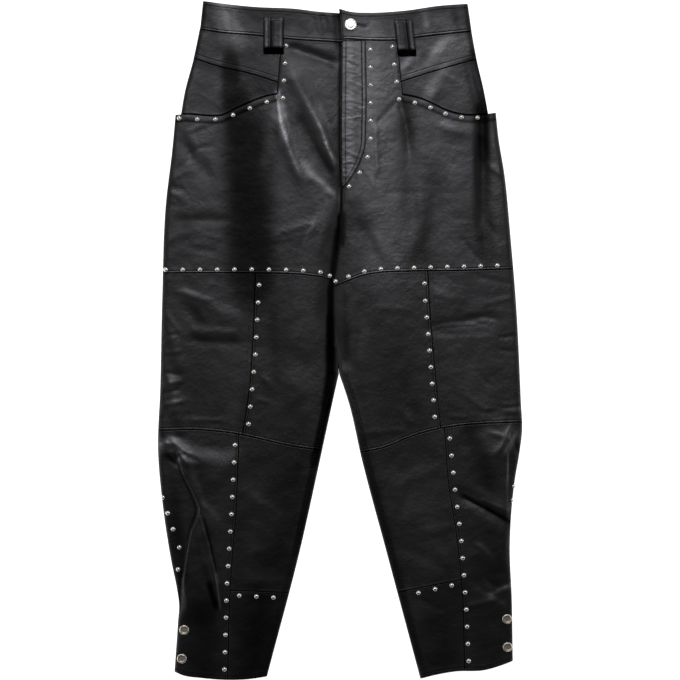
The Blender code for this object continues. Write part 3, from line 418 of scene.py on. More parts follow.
# Belt loops: two puffed strips with a channel between them, and a roll at the lower end
LOOP_ROLL, LOOP_ROLL_RISE, LOOP_ROLL_FADE = 6.0, 1.4, 4
LOOP_ROLL_WIDER, LOOP_ROLL_SPREAD = 0.03, 5
LOOP_SEAT, LOOP_LIFT, LOOP_TAIL, LOOP_EDGE_DROP = 0.4, 1.2, 4, 1.2
LOOP_HEAD, LOOP_HEAD_END, LOOP_HEAD_FADE = 0.25, 0.5, 7
LOOP_CHANNEL_SHARE = 0.27
LOOP_CROWN, LOOP_CROWN_WIDTH, LOOP_CROWN_FOOT = 2.2, 1.04, 1.6
LOOP_OUTER_COLUMNS = (-1, -0.985, -0.95, -0.88, -0.75, -0.55)
LOOP_CHANNEL_COLUMNS = (-0.12, -0.07, -0.03, 0, 0.03, 0.07, 0.12)
LOOP_MIDDLE_COLUMNS = (-0.5, 0.5, 9)  # first, last, count
LOOP_ROLL_ROWS = (0, 0.002, 0.008, 0.02, 0.035, 0.055)
LOOP_EVEN_ROWS = (0.075, 1, 50)  # first, last, count
# The painted light on the loops: its level and range, painted highlights beside the channel and on
# the shoulders, and painted shade in the channel and at the edges
LOOP_PAINTED_LIGHT, LOOP_PAINTED_LIGHT_RANGE = 0.75, (0.03, 3)
LOOP_INNER_GLEAM, LOOP_OUTER_GLEAM = PaintedLine(0.8, -0.12, 0.05), PaintedLine(1.5, 0.78, 0.1)
LOOP_CHANNEL_SHADE, LOOP_EDGE_SHADE = PaintedLine(0.75, 0, 0.06), PaintedLine(0.75, 1, 0.1)

# Stitching, the buttonhole and the metal
STITCH_PITCH, STITCH_LENGTH, STITCH_WIDTH, STITCH_HEIGHT, STITCH_LIFT = 3.2, 2.3, 0.62, 0.28, 0.08
STITCH_PATH_POINTS = 200
HOLE, HOLE_LENGTH, HOLE_WIDTH, HOLE_SLANT, HOLE_LIFT = Cap(28.5, 439.8), 15.0, 2.4, 0.16, 0.1
HOLE_THREADS = 46
CAP_LIFT = 0.3
STUD_STEPS, SNAP_STEPS, BUTTON_STEPS = 18, 40, 48

STUD_RINGS = [
    Ring(0, 1.9), Ring(0.28, 1.824), Ring(0.52, 1.596), Ring(0.74, 1.178), Ring(0.9, 0.646),
    Ring(0.97, 0.19), Ring(1, -0.1), Ring(1, -0.5), Ring(0, -0.5),
]
SNAP_RINGS = [
    Ring(0, 2.3), Ring(0.3, 2.26), Ring(0.58, 2.26), Ring(0.64, 2.38), Ring(0.74, 2.6),
    Ring(0.88, 2.4), Ring(0.97, 1.8), Ring(1, 0.8), Ring(0.95, 0.5), Ring(0.5, 0.5),
    Ring(0.5, -0.3), Ring(0, -0.3),
]
BUTTON_RINGS = [
    Ring(0, 3.3), Ring(0.4, 3.26), Ring(0.62, 3.2), Ring(0.68, 3.06), Ring(0.74, 3.28),
    Ring(0.86, 3.2), Ring(0.95, 2.9), Ring(1, 2.2), Ring(0.98, 0.9), Ring(0.9, 0.7),
    Ring(0.4, 0.7), Ring(0.4, -0.2), Ring(0, -0.2),
]

Curves = namedtuple("Curves", "side inner hip_side hip_seam waist yoke mouth thigh knee calf shin"
                              " cuff hem")
CURVES = {
    "right": Curves(SIDE_RIGHT, INNER_RIGHT, HIP_SIDE_RIGHT, HIP_SEAM_RIGHT, WAIST_SEAM_RIGHT,
                    YOKE_RIGHT, MOUTH_RIGHT, THIGH_SEAM_RIGHT, KNEE_SEAM_RIGHT, CALF_SEAM_RIGHT,
                    SHIN_SEAM_RIGHT, CUFF_SEAM_RIGHT, HEM_RIGHT),
    "left": Curves(SIDE_LEFT, INNER_LEFT, HIP_SIDE_LEFT, HIP_SEAM_LEFT, WAIST_SEAM_LEFT,
                   YOKE_LEFT, MOUTH_LEFT, THIGH_SEAM_LEFT, KNEE_SEAM_LEFT, CALF_SEAM_LEFT,
                   SHIN_SEAM_LEFT, CUFF_SEAM_LEFT, HEM_LEFT),
}

# Usual width and length of each panel and of its cells, which say how many lines of mesh it has
SPANS = {
    "hip_yoke": Span(118, 44, CELL, CELL),
    "pocket_facing": Span(120, 52, CELL, CELL),
    "thigh_outer": Span(145, 222, CELL, CELL),
    "thigh_inner": Span(88, 222, CELL, CELL),
    "knee_outer": Span(124, 218, CELL, CELL),
    "knee_inner": Span(116, 226, CELL, CELL),
    "shin_outer": Span(84, 340, 1.2, 2.0),
    "shin_inner": Span(95, 214, CELL, CELL),
    "cuff_inner": Span(70, 120, CELL, CELL),
    "waistband": Span(188, 40, CELL, CELL),
    "fly": Span(34, 206, 1.6, 1.3),
    "back": Span(200, 880, 5, 5),
    "waistband_back": Span(200, 40, 5, 5),
}

# Rows of stitching on both legs: across them between two x, and down them between two y. The
# offset is up from the curve, or inward from it.
CROSS_SEAMS = [
    CrossSeam("thigh", "thigh", (-244, -18), (242, 2), 2.6),
    CrossSeam("thigh", "mouth", (-228, -90), (214, 90), -2.6),
    CrossSeam("thigh", "mouth", (-226, -160), (212, 160), -9.0),
    CrossSeam("hip_yoke", "yoke", (-203, -88), (189, 88), 7.4),
    CrossSeam("waistband", "waist", (-194, -2), (181, 6), 2.6),
    CrossSeam("knee_outer", "calf", (-249, -137), (251, 142), 2.6),
    CrossSeam("knee_inner", "calf", (-133, -32), (139, 36), 2.6),
    CrossSeam("cuff_inner", "cuff", (-151, -73), (171, 83), -2.6),
    CrossSeam("shin_outer", "hem", (-229, -160), (239, 178), 5.4),
    CrossSeam("cuff_inner", "hem", (-155, -103), (172, 113), 5.4),
]
DOWN_SEAMS = [
    DownSeam("thigh", "hip_seam", 350, 421, 2.6),
    DownSeam("knee_inner", "knee", -128, 92, 2.6),
    DownSeam("knee_outer", "knee", -122, 92, -7.0),
    DownSeam("shin_outer", "shin", -460, -134, -2.6),
    DownSeam("knee_inner", "inner", -150, -50, -7.8),
    DownSeam("shin_inner", "inner", -348, -160, -7.8),
    DownSeam("cuff_inner", "inner", -466, -356, -7.8),
    DownSeam("knee_inner", "inner", -150, -50, -10.8),
    DownSeam("shin_inner", "inner", -348, -160, -10.8),
    DownSeam("cuff_inner", "inner", -466, -356, -10.8),
]

# The waistband's top and end, and the fly strip's edge, with the offset along +Y or +X
OTHER_STITCHES = [
    Stitches("waistband_right", "cross", WAIST_TOP_RIGHT, -188, -3, -5.4),
    Stitches("waistband_left", "cross", WAIST_TOP_LEFT, 4, 176, -5.4),
    Stitches("waistband_left", "down", BAND_END, 427, 457, 2.8),
    Stitches("fly", "down", FLY_EDGE, 222, 417, -1.3),
    Stitches("fly", "down", FLY_EDGE, 226, 417, -6.6),
]

# Distances in from an edge at which the mesh has a line, by what the edge is
GRADES = {
    "fold": (0, 0.3, 0.9, 1.8, 3.2, 5.2, 7.6, 10.5),
    "over": (0, 0.25, 0.6, 1.1, 1.8, 2.2, 2.6, 3.0, 3.5, 4.5, 6.2, 8.4),
    "yoke": (0, 0.25, 0.6, 1.1, 2.4, 4.2, 6.0, 6.9, 7.4, 7.9, 9.0, 11),
    "mouth": (0, 0.25, 0.6, 1.1, 2.0, 2.6, 3.2, 4.4, 6.4, 8.4, 9.0, 9.6, 11, 13),
    "twin": (0, 0.25, 0.6, 1.3, 2.0, 3.2, 4.8, 6.0, 6.6, 7.2, 8.6, 10),
    "under": (0, 1.9, 2.3, 2.8, 3.4, 4.1, 4.9, 6.0, 7.8, 10),
    "inseam": (0, 0.3, 0.9, 1.8, 3.2, 5.2, 7.2, 7.8, 8.4, 9.4, 10.2, 10.8, 11.4, 12.6, 14),
    "hem": (0, 0.25, 0.6, 1.2, 2.4, 4.0, 4.9, 5.4, 5.9, 7.0, 9.0),
    "valley": (0, 0.4, 1.0, 1.8, 2.8, 4.2, 6.5, 9.5),
    "valley_inseam": (0, 0.4, 1.0, 1.8, 2.8, 4.2, 6.0, 7.2, 7.8, 8.4, 9.5, 10.2, 10.8, 11.4, 13),
    "plain": (0, 2.5, 5.0),
}

# Distances in from an edge of its rows of stitching, which are pressed into the leather
ROWS = {
    "over": (2.6,), "yoke": (7.4,), "mouth": (2.6, 9.0), "twin": (1.3, 6.6),
    "inseam": (7.8, 10.8), "hem": (5.4,),
}

# The lapped edges: how far they are raised, how widely, and how their edge is rounded
LAPS = {
    "over": Lap(0.15, 1.0, 7.0, 0.4, 0.8, 0.18),
    "yoke": Lap(0.5, 6.6, 2.4, 0.5, 0.9, 0.3),
    "mouth": Lap(0.16, 8.4, 5.0, 0.3, 0.8, 0.12),
    "twin": Lap(0.55, 6.0, 1.6, 0.4, 0.6, 0.3),
    "inseam": Lap(0.35, 10.4, 3.0, 0.8, 2.0, 0.2),
    "hem": Lap(0.3, 6.2, 2.0, 0.55, 0.9, 0.2),
}

# Creases too fine for the solids: ridges, and troughs where the height is negative
CREASES = [
    # hips, thighs and waistband
    Fold(-88, 338, -82, 305, 1.3, 4), Fold(-82, 305, -72, 270, 1.5, 5),
    Fold(-72, 268, -58, 234, 1.0, 5), Fold(-62, 362, -44, 330, 0.4, 6),
    Fold(-44, 330, -26, 296, 0.9, 7), Fold(-26, 296, -18, 272, 1.3, 4.5),
    Fold(-18, 272, -8, 252, 1.1, 3), Fold(-52, 300, -30, 262, -1.4, 7),
    Fold(-30, 262, -14, 238, -1.3, 6), Fold(-38, 226, -25, 217, 1.2, 4),
    Fold(-20, 210, -10, 203, 0.9, 4), Fold(-62, 409, -36, 400, -1.1, 4),
    Fold(-36, 400, -12, 389, -0.9, 4), Fold(-80, 146, -60, 152, -0.6, 1.8),
    Fold(-60, 152, -42, 157, -0.6, 1.8), Fold(-40, 157, -51, 134, 0.6, 2.2),
    Fold(-51, 134, -58, 110, 0.5, 2.4), Fold(-24, 200, -38, 160, 0.5, 3),
    Fold(-10, 190, -30, 130, 0.5, 6), Fold(-209, 262, -194, 270, -0.6, 2),
    Fold(-194, 270, -180, 272, -0.5, 2), Fold(-229, 240, -212, 252, -0.5, 2.2),
    Fold(-235, 226, -214, 236, 0.5, 2.2), Fold(-237, 206, -218, 197, 0.6, 2.2),
    Fold(-240, 215, -222, 211, -0.5, 2.2), Fold(-240, 190, -220, 186, -0.4, 2.4),
    Fold(-240, 140, -205, 156, 0.5, 5), Fold(-205, 156, -165, 160, 0.4, 4),
    Fold(-205, 128, -175, 123, -0.4, 4), Fold(-196, 152, -170, 142, 0.4, 3),
    Fold(-212, 292, -196, 300, 0.6, 3), Fold(-205, 276, -200, 250, 0.6, 6),
    Fold(86, 328, 92, 300, -1.2, 5), Fold(92, 300, 96, 268, -0.9, 5),
    Fold(52, 304, 62, 315, -0.7, 2.2), Fold(62, 315, 76, 330, -0.6, 2.6),
    Fold(50, 300, 52, 238, 0.7, 3), Fold(36, 236, 48, 216, 0.5, 3), Fold(20, 196, 36, 168, 0.9, 8),
    Fold(36, 168, 60, 126, 0.8, 8), Fold(30, 186, 44, 160, -0.6, 5),
    Fold(75, 206, 150, 208, -0.35, 2.5), Fold(135, 205, 126, 150, -0.8, 12),
    Fold(126, 150, 108, 108, -0.8, 12), Fold(198, 330, 199, 240, -1.6, 7),
    Fold(199, 240, 196, 170, -1.3, 7), Fold(180, 384, 190, 340, -0.9, 5),
    Fold(128, 344, 142, 374, 0.7, 9), Fold(142, 374, 156, 366, 0.7, 4),
    Fold(92, 382, 104, 402, 0.6, 5), Fold(132, 394, 146, 412, 0.6, 9),
    Fold(206, 165, 216, 150, -0.5, 3), Fold(172, 140, 190, 118, -0.5, 4),
    Fold(214, 240, 228, 231, 0.7, 4), Fold(150, 296, 166, 292, 0.6, 6),
    Fold(150, 276, 170, 272, -0.3, 4), Fold(-32, 454, -27, 434, 0.5, 3),
    Fold(-24, 452, -19, 430, -0.5, 2.6), Fold(-14, 450, -9, 436, 0.6, 2.6),
    Fold(-50, 446, -44, 434, 0.4, 4), Fold(-150, 458, -146, 440, 0.5, 6),
    Fold(-172, 460, -168, 444, -0.4, 5), Fold(60, 452, 66, 436, 0.4, 4),
    Fold(126, 458, 122, 440, 0.4, 5),
    Fold(HOLE.x - 6.5, HOLE.y + 1, HOLE.x + 6.5, HOLE.y - 1.1, -1.0, 1.0),
    # knees
    Fold(-216, 66, -186, 56, 0.8, 5), Fold(-186, 56, -166, 38, 0.6, 8),
    Fold(-200, 14, -156, 11, 0.6, 5), Fold(-200, 0, -150, -3, -0.7, 6),
    Fold(-150, 34, -160, 40, 0.5, 8), Fold(-214, 44, -196, 24, -0.6, 8),
    Fold(-240, 34, -228, 16, 0.6, 3), Fold(-246, 6, -232, 8, -0.5, 2.4),
    Fold(-244, -18, -226, -16, 0.5, 2.4), Fold(-244, -46, -228, -48, -0.8, 2.4),
    Fold(-240, -60, -226, -58, 0.8, 2.8), Fold(-246, -74, -230, -70, -0.9, 2.6),
    Fold(-244, -90, -222, -86, 1.0, 3.2), Fold(-250, -110, -240, -98, -0.6, 2.4),
    Fold(-205, -112, -170, -112, 0.5, 2.4), Fold(-230, -106, -205, -104, -0.3, 3),
    Fold(-104, -56, -100, -62, 0.6, 4), Fold(-110, -84, -104, -86, 0.5, 3),
    Fold(-100, 60, -92, -50, -0.7, 12), Fold(-60, 70, -64, -60, 0.6, 14),
    Fold(140, 66, 150, 62, 0.6, 6), Fold(134, 18, 156, 22, 0.6, 2.6),
    Fold(156, 22, 188, 23, 0.6, 2.2), Fold(200, 27, 212, 26, 0.7, 3),
    Fold(180, 30, 206, 36, -0.5, 4), Fold(140, 8, 206, 12, -0.4, 4),
    Fold(196, 88, 236, 80, -0.4, 4), Fold(208, 52, 240, 60, 0.4, 4),
    Fold(226, 4, 248, 6, -0.5, 2.6), Fold(224, -14, 250, -16, -0.4, 2.4),
    Fold(198, -50, 206, -60, -0.5, 3), Fold(200, -96, 246, -100, 0.5, 3),
    Fold(196, -92, 180, -80, 0.4, 4), Fold(86, -100, 98, -112, 0.5, 5),
    Fold(96, -50, 92, -90, -0.7, 9), Fold(10, 40, 8, 0, 0.5, 3), Fold(30, 40, 28, -10, -0.5, 6),
    Fold(60, 46, 80, 44, 0.4, 5), Fold(40, -130, 84, -126, 0.3, 4),
    Fold(156, -107, 174, -107, 0.4, 2.5),
    # lower legs
    Fold(-248, -144, -232, -144, 0.9, 4), Fold(-230, -144, -216, -156, 1.0, 4.5),
    Fold(-244, -158, -230, -159, 0.8, 3.5), Fold(-234, -170, -224, -176, -0.9, 3.5),
    Fold(-216, -160, -205, -166, -0.8, 4), Fold(-222, -160, -215, -172, 0.9, 3.5),
    Fold(-186, -236, -172, -252, 0.8, 6), Fold(-196, -200, -190, -222, -0.6, 5),
    Fold(-150, -170, -172, -190, 0.3, 8), Fold(-196, -247, -184, -287, 0.8, 1.5),
    Fold(-184, -287, -178, -308, 1.0, 1.5), Fold(-178, -308, -171, -339, 1.0, 1.5),
    Fold(-171, -339, -166, -376, 0.8, 1.6), Fold(-165, -378, -158, -384, 0.8, 3),
    Fold(-182, -294, -173, -322, -0.7, 3), Fold(-180, -345, -173, -374, -0.8, 4),
    Fold(-130, -214, -108, -232, 0.5, 8), Fold(-120, -250, -96, -262, -0.4, 8),
    Fold(-126, -300, -100, -290, 0.4, 7), Fold(-140, -350, -90, -346, -0.3, 6),
    Fold(-120, -384, -116, -420, 0.3, 6), Fold(-206, -290, -204, -380, 0.4, 7),
    Fold(212, -130, 226, -134, 0.8, 4), Fold(236, -128, 224, -150, 1.4, 4),
    Fold(240, -134, 246, -150, -0.8, 3), Fold(174, -222, 200, -234, -1.0, 2.6),
    Fold(200, -234, 236, -254, -1.1, 2.8), Fold(200, -226, 232, -238, 0.7, 3.5),
    Fold(176, -216, 190, -224, 0.5, 2.6), Fold(190, -140, 206, -200, -0.9, 12),
    Fold(196, -290, 206, -298, 0.6, 4), Fold(186, -302, 200, -296, 0.4, 5),
    Fold(204, -340, 222, -352, 0.7, 3.4), Fold(222, -352, 240, -344, 0.8, 3.4),
    Fold(206, -352, 222, -362, -0.8, 4), Fold(184, -372, 214, -364, 0.5, 4),
    Fold(96, -196, 128, -184, 0.4, 9), Fold(86, -240, 100, -204, -0.4, 8),
    Fold(120, -270, 150, -262, 0.4, 8), Fold(110, -362, 140, -376, -0.4, 4),
    Fold(90, -290, 130, -310, -0.4, 8), Fold(132, -286, 148, -310, 0.4, 7),
]

# Painted shade and dark reflections, darker where negative and brighter where positive: bands with
# definite sides
PAINTED_DARK_BANDS = [
    # painted shade in the fold between the legs, and down the right one's inner edge
    Fold(2.2, 214, 2.0, 178, -0.97, 1.8), Fold(-0.7, 172, -2, 156, -0.98, 4),
    Fold(-2.1, 154, -6, 126, -0.985, 5.6), Fold(-6, 126, -9.6, 98, -0.985, 5.4),
    Fold(-9.6, 98, -13.2, 70, -0.985, 5.0), Fold(-13.2, 70, -13.4, 30, -0.985, 5.8),
    Fold(-13.6, 30, -13.4, -14, -0.985, 7), Fold(-13.4, -14, -13, -44, -0.985, 8.4),
    Fold(-13, -44, -19, -90, -0.97, 8), Fold(-19, -90, -36, -168, -0.9, 7),
    Fold(-36, -168, -62, -294, -0.65, 6), Fold(4, 172, 3, 140, -0.8, 5),
    # the dark reflection down the right thigh, and the one by the left pocket
    Fold(-153, 384, -152, 330, -0.75, 15), Fold(-143, 322, -139, 284, -0.8, 24),
    Fold(-129, 262, -126, 200, -0.82, 37), Fold(-126, 200, -124, 104, -0.78, 37),
    Fold(200, 322, 200, 262, -0.93, 11), Fold(198, 262, 199, 200, -0.75, 13),
    Fold(198, 200, 204, 130, -0.45, 15), Fold(188, 392, 198, 336, -0.6, 9),
    # painted shade along the lower legs' folds
    Fold(-236, -142, -229, -158, -0.75, 3), Fold(-229, -160, -223, -184, -0.75, 2.4),
    Fold(-223, -184, -210, -212, -0.75, 2.4), Fold(-210, -212, -200.5, -236, -0.75, 2.2),
    Fold(-201, -240, -210.6, -266, -0.75, 2.4), Fold(-210.6, -266, -219, -312, -0.75, 2.4),
    Fold(-219, -312, -223.5, -345, -0.75, 2.4), Fold(-222, -325, -225.5, -374, -0.85, 3.2),
    # painted shadow beside the end of the waistband, and painted shade in the buttonhole
    Fold(-2, 468, 1.0, 416, -0.97, 3.4), Fold(-7, 462, -4, 418, -0.8, 5),
    Fold(HOLE.x - 6, HOLE.y + 1, HOLE.x + 7, HOLE.y - 1.1, -0.98, 1.6),
]

# Painted highlights and reflections where positive, and painted shade and dark reflections where
# negative, as soft strokes
PAINTED_STROKES = [
    Fold(-190, -250, -180, -290, -0.8, 2.6), Fold(-180, -290, -174, -322, -0.9, 3),
    Fold(-190, -316, -182, -344, -0.5, 6), Fold(-182, -344, -175, -370, -0.95, 6.5),
    Fold(60, 330, 76, 140, 0.45, 34), Fold(100, 250, 150, 150, 0.5, 32),
    Fold(12, 408, 13, 240, 2.0, 10), Fold(32.6, 410, 33, 275, 1.6, 2.2),
    Fold(-160, 458, -148, 432, 1.7, 11), Fold(-182, 456, -178, 440, -0.5, 8),
    Fold(110, 452, 180, 446, -0.25, 12), Fold(118, 456, 122, 440, 1.0, 5),
    Fold(40, 446, 90, 446, -0.3, 14), Fold(-60, 60, -80, -110, -0.25, 45),
    Fold(60, 60, 80, -110, -0.3, 45), Fold(-190, 70, -190, -60, -0.15, 34),
    Fold(190, 60, 196, -90, 0.15, 34), Fold(180, 180, 178, 120, -0.1, 20),
    Fold(-84, 148, -46, 158, -0.45, 4), Fold(-40, 160, -54, 112, 0.45, 5),
    Fold(-50, 155, -64, 108, -0.3, 5), Fold(34, 170, 58, 116, -0.4, 6),
    Fold(14, 150, 24, 110, 0.35, 8), Fold(20, -10, 40, -110, -0.2, 9),
    Fold(8, 60, 10, -20, -0.4, 6), Fold(-120, -330, -96, -334, 0.3, 9),
    Fold(40, 390, 62, 130, 1.35, 36), Fold(70, 380, 100, 330, 0.2, 20),
    Fold(150, 362, 118, 366, 0.75, 24), Fold(120, 280, 150, 240, 0.55, 42),
    Fold(-40, 400, -40, 240, 0.3, 34), Fold(-170, 392, -110, 380, -0.3, 18),
    Fold(-118, 448, -90, 446, -0.6, 15), Fold(-80, 448, -20, 440, -0.35, 18),
    Fold(-190, 456, -184, 448, -0.6, 9), Fold(-168, 462, -164, 440, 0.5, 6),
    Fold(-150, 458, -147, 440, 0.4, 5), Fold(-246, -146, -234, -150, 1.8, 6),
    Fold(-230, -142, -220, -152, 1.3, 5), Fold(-214, -150, -207, -172, 0.6, 5),
    Fold(-240, -162, -234, -168, -0.7, 4), Fold(-222, -166, -214, -160, 1.4, 4),
    Fold(-206, -150, -170, -152, -0.45, 8), Fold(-244, -132, -222, -132, -0.5, 4.5),
    Fold(-206, -184, -198, -204, 0.6, 5), Fold(238, -130, 226, -146, 1.6, 4),
    Fold(246, -136, 248, -150, -0.6, 4), Fold(232, -146, 222, -152, 0.8, 4),
    Fold(-70, -200, -95, -330, -0.5, 45), Fold(-206, -200, -206, -380, -0.25, 44),
    Fold(-125, -180, -140, -330, -0.3, 26), Fold(-110, -375, -120, -450, -0.7, 44),
    Fold(-190, -395, -190, -450, -0.6, 36), Fold(210, -280, 215, -440, -0.35, 34),
    Fold(150, -380, 140, -450, -0.45, 36), Fold(-118, 350, -98, 352, -0.25, 14),
    Fold(-190, 408, -140, 396, -0.3, 16), Fold(-140, 412, -120, 400, -0.25, 12),
    Fold(-190, 455, -184, 455, -0.6, 8), Fold(-160, 450, -134, 446, 0.35, 12),
    Fold(-87, 346, -85, 326, 3.4, 3.2), Fold(-85, 326, -77, 288, 5.0, 5.6),
    Fold(-77, 288, -68, 262, 1.8, 8), Fold(-68, 262, -54, 234, 1.4, 8),
    Fold(-60, 350, -42, 322, 0.6, 7), Fold(-42, 322, -26, 300, 1.2, 7),
    Fold(-30, 318, -24, 290, 1.6, 9), Fold(-24, 290, -18, 272, 3.2, 4),
    Fold(-18, 272, -8, 252, 3.4, 2.8), Fold(-48, 242, -32, 222, 2.0, 8),
    Fold(-32, 222, -16, 208, 2.6, 6), Fold(-22, 208, -8, 200, 1.5, 4),
    Fold(-16, 205, -46, 140, 1.1, 5), Fold(-56, 308, -36, 268, -0.6, 7),
    Fold(-36, 268, -14, 238, -0.82, 8), Fold(-30, 336, -8, 290, -0.4, 7),
    Fold(-74, 346, -64, 300, -0.25, 8), Fold(-94, 300, -104, 250, 0.4, 10),
    Fold(-62, 398, -14, 383, -0.55, 6), Fold(-216, 160, -152, 162, -0.6, 5.5),
    Fold(-70, 200, -40, 130, 0.25, 34), Fold(-195, 290, -190, 120, 0.2, 26),
    Fold(-40, 410, -16, 400, -0.4, 9), Fold(-36, 268, -16, 240, -0.5, 9),
    Fold(34, -150, 106, -440, -0.5, 10), Fold(60, 300, 70, 130, 0.3, 26),
    Fold(118, 310, 118, 220, 0.25, 14), Fold(152, 296, 160, 200, 0.2, 18),
    Fold(128, 350, 144, 374, 1.9, 10), Fold(132, 366, 158, 366, 0.9, 12),
    Fold(93, 386, 105, 397, 1.6, 6), Fold(134, 396, 146, 410, 1.9, 11),
    Fold(158, 402, 176, 412, 0.5, 9), Fold(110, 405, 126, 392, -0.35, 7),
    Fold(104, 352, 122, 366, 0.5, 8), Fold(160, 360, 176, 372, -0.3, 9),
    Fold(94, 328, 99, 290, -0.75, 9), Fold(97, 300, 104, 262, -0.3, 9),
    Fold(134, 196, 112, 110, -0.45, 15), Fold(14, 400, 18, 250, 0.7, 9),
    Fold(22, 196, 44, 140, -0.5, 9), Fold(36, 238, 44, 222, 0.9, 5),
    Fold(138, 308, 176, 300, 0.9, 9), Fold(120, 326, 150, 306, 0.4, 8),
    Fold(214, 300, 222, 220, 0.3, 7), Fold(126, 450, 146, 444, 0.6, 9),
    Fold(160, 456, 164, 438, -0.5, 6), Fold(-214, 66, -186, 58, 0.8, 6),
    Fold(-168, 42, -150, 34, 0.3, 14), Fold(-196, 0, -152, -4, -0.5, 7),
    Fold(-200, 40, -196, 26, -0.4, 10), Fold(-128, 84, -100, 60, -0.3, 16),
    Fold(-96, 60, -88, -60, -0.35, 12), Fold(-50, 80, -54, -40, 0.3, 20),
    Fold(-130, -80, -134, -120, -0.35, 10), Fold(-236, -60, -236, -58, 0.8, 5),
    Fold(-236, -90, -234, -88, 1.2, 6), Fold(-160, -50, -150, -90, 0.1, 20),
    Fold(-60, -100, -50, -130, -0.3, 20), Fold(142, 64, 148, 60, 0.5, 8),
    Fold(152, 22, 186, 23, 0.6, 3), Fold(204, 27, 210, 26, 0.7, 5),
    Fold(180, -40, 190, -90, 0.25, 24), Fold(92, -60, 106, -100, -0.4, 16),
    Fold(30, -40, 50, -110, -0.1, 14), Fold(200, 70, 230, 30, 0.15, 18),
    Fold(30, 70, 34, 0, 0.2, 10), Fold(-226, -152, -224, -166, -0.4, 7),
    Fold(-184, -244, -176, -252, 0.8, 7), Fold(-200, -200, -196, -228, -0.4, 8),
    Fold(-196, -247, -184, -287, 0.9, 1.4), Fold(-184, -287, -171, -339, 1.0, 1.4),
    Fold(-171, -339, -167, -372, 0.6, 1.5), Fold(-200, -280, -190, -330, -0.35, 7),
    Fold(-232, -230, -222, -320, -0.6, 14), Fold(-120, -220, -100, -240, 0.3, 14),
    Fold(-110, -300, -90, -300, -0.3, 18), Fold(206, -132, 238, -134, 1.2, 8),
    Fold(237, -148, 244, -134, 2.6, 4), Fold(226, -128, 246, -126, 0.8, 4),
    Fold(190, -136, 206, -200, -0.6, 18), Fold(176, -219, 206, -236, -0.8, 3.4),
    Fold(206, -236, 240, -256, -0.93, 5), Fold(204, -216, 238, -232, 0.5, 6),
    Fold(235, -150, 233.5, -215, 1.5, 1.6), Fold(233.5, -215, 236, -250, 0.8, 1.5),
    Fold(84, -350, 168, -334, 0.9, 1.0), Fold(-154, -350.3, -77, -351.8, 0.9, 1.0),
    Fold(200, -104, 250, -96, 1.0, 3), Fold(208, -98, 248, -90, -0.5, 2.5),
    Fold(204, -84, 244, -88, 0.6, 2.5), Fold(200, -292, 206, -298, 0.5, 6),
    Fold(216, -353, 240, -344, 1.9, 4), Fold(240, -280, 243, -330, 1.2, 4),
    Fold(206, -344, 218, -353, 1.2, 3.4), Fold(206, -354, 224, -364, -0.5, 6),
    Fold(100, -200, 130, -280, 0.25, 24),
]

# Soft folds of a leg's back, stated for the right leg and mirrored on the left one
BACK_CREASES = [
    Fold(-190, 330, -120, 250, 1.6, 14), Fold(-70, 340, -110, 262, 1.3, 12),
    Fold(-60, 250, -130, 196, 1.8, 12), Fold(-40, 214, -92, 150, 1.6, 10),
    Fold(-205, 204, -140, 168, 1.5, 13), Fold(-200, 66, -120, 44, 2.0, 9),
    Fold(-190, 26, -104, 12, 2.2, 8), Fold(-206, -12, -130, -20, 1.9, 8),
    Fold(-196, -50, -110, -46, 1.6, 9), Fold(-196, -170, -160, -232, 1.6, 9),
    Fold(-120, -190, -150, -262, 1.4, 9), Fold(-176, -300, -150, -362, 1.2, 10),
]


def dent(away, width):
    """1 on a line, and near 0 from two widths away."""
    return np.exp(-((away / width) ** 2))


def tip(away, radius):
    """The part of a rounded edge that is missing, from 1 at the edge to 0 inside it."""
    left = 1 - np.clip(away / radius, 0, 1)
    return 1 - np.sqrt(np.clip(1 - left * left, 0, 1))


def pressed(kind, away):
    """1 on a row of stitching, 0 away from it."""
    return sum(dent(away - row, STITCH_DENT) for row in ROWS.get(kind, ())) + 0 * away


def legs_apart(y):
    """1 where the legs lie apart, 0 where their fronts meet in a fold."""
    return ease((CROTCH_Y + APART_START - y) / APART_FADE)


def under_form(away):
    """An edge that dips to run in under its neighbour's lap, and swells a little beside it."""
    swell = SWELL_HEIGHT * dent(away - TUCK - SWELL_PLACE, SWELL_WIDTH)
    return swell - UNDER_DROP * (1 - ease((away - TUCK) / UNDER_FADE))


def edge_form(kind, away, y=0):
    """What an edge adds to the height of its panel, at a distance in from it."""
    if kind == "valley_inseam":
        apart = legs_apart(y)
        return apart * edge_form("inseam", away) + (1 - apart) * edge_form("valley", away)
    if kind == "valley":
        return -sum(depth * dent(away, width) for depth, width in VALLEY_DENTS)
    if kind == "under":
        return under_form(away)
    if kind not in LAPS:
        return 0 * away
    lap = LAPS[kind]
    puff = lap.height * (1 - ease((away - lap.width) / lap.fade))
    return puff - lap.edge * tip(away, lap.radius) - lap.pressed * pressed(kind, away)


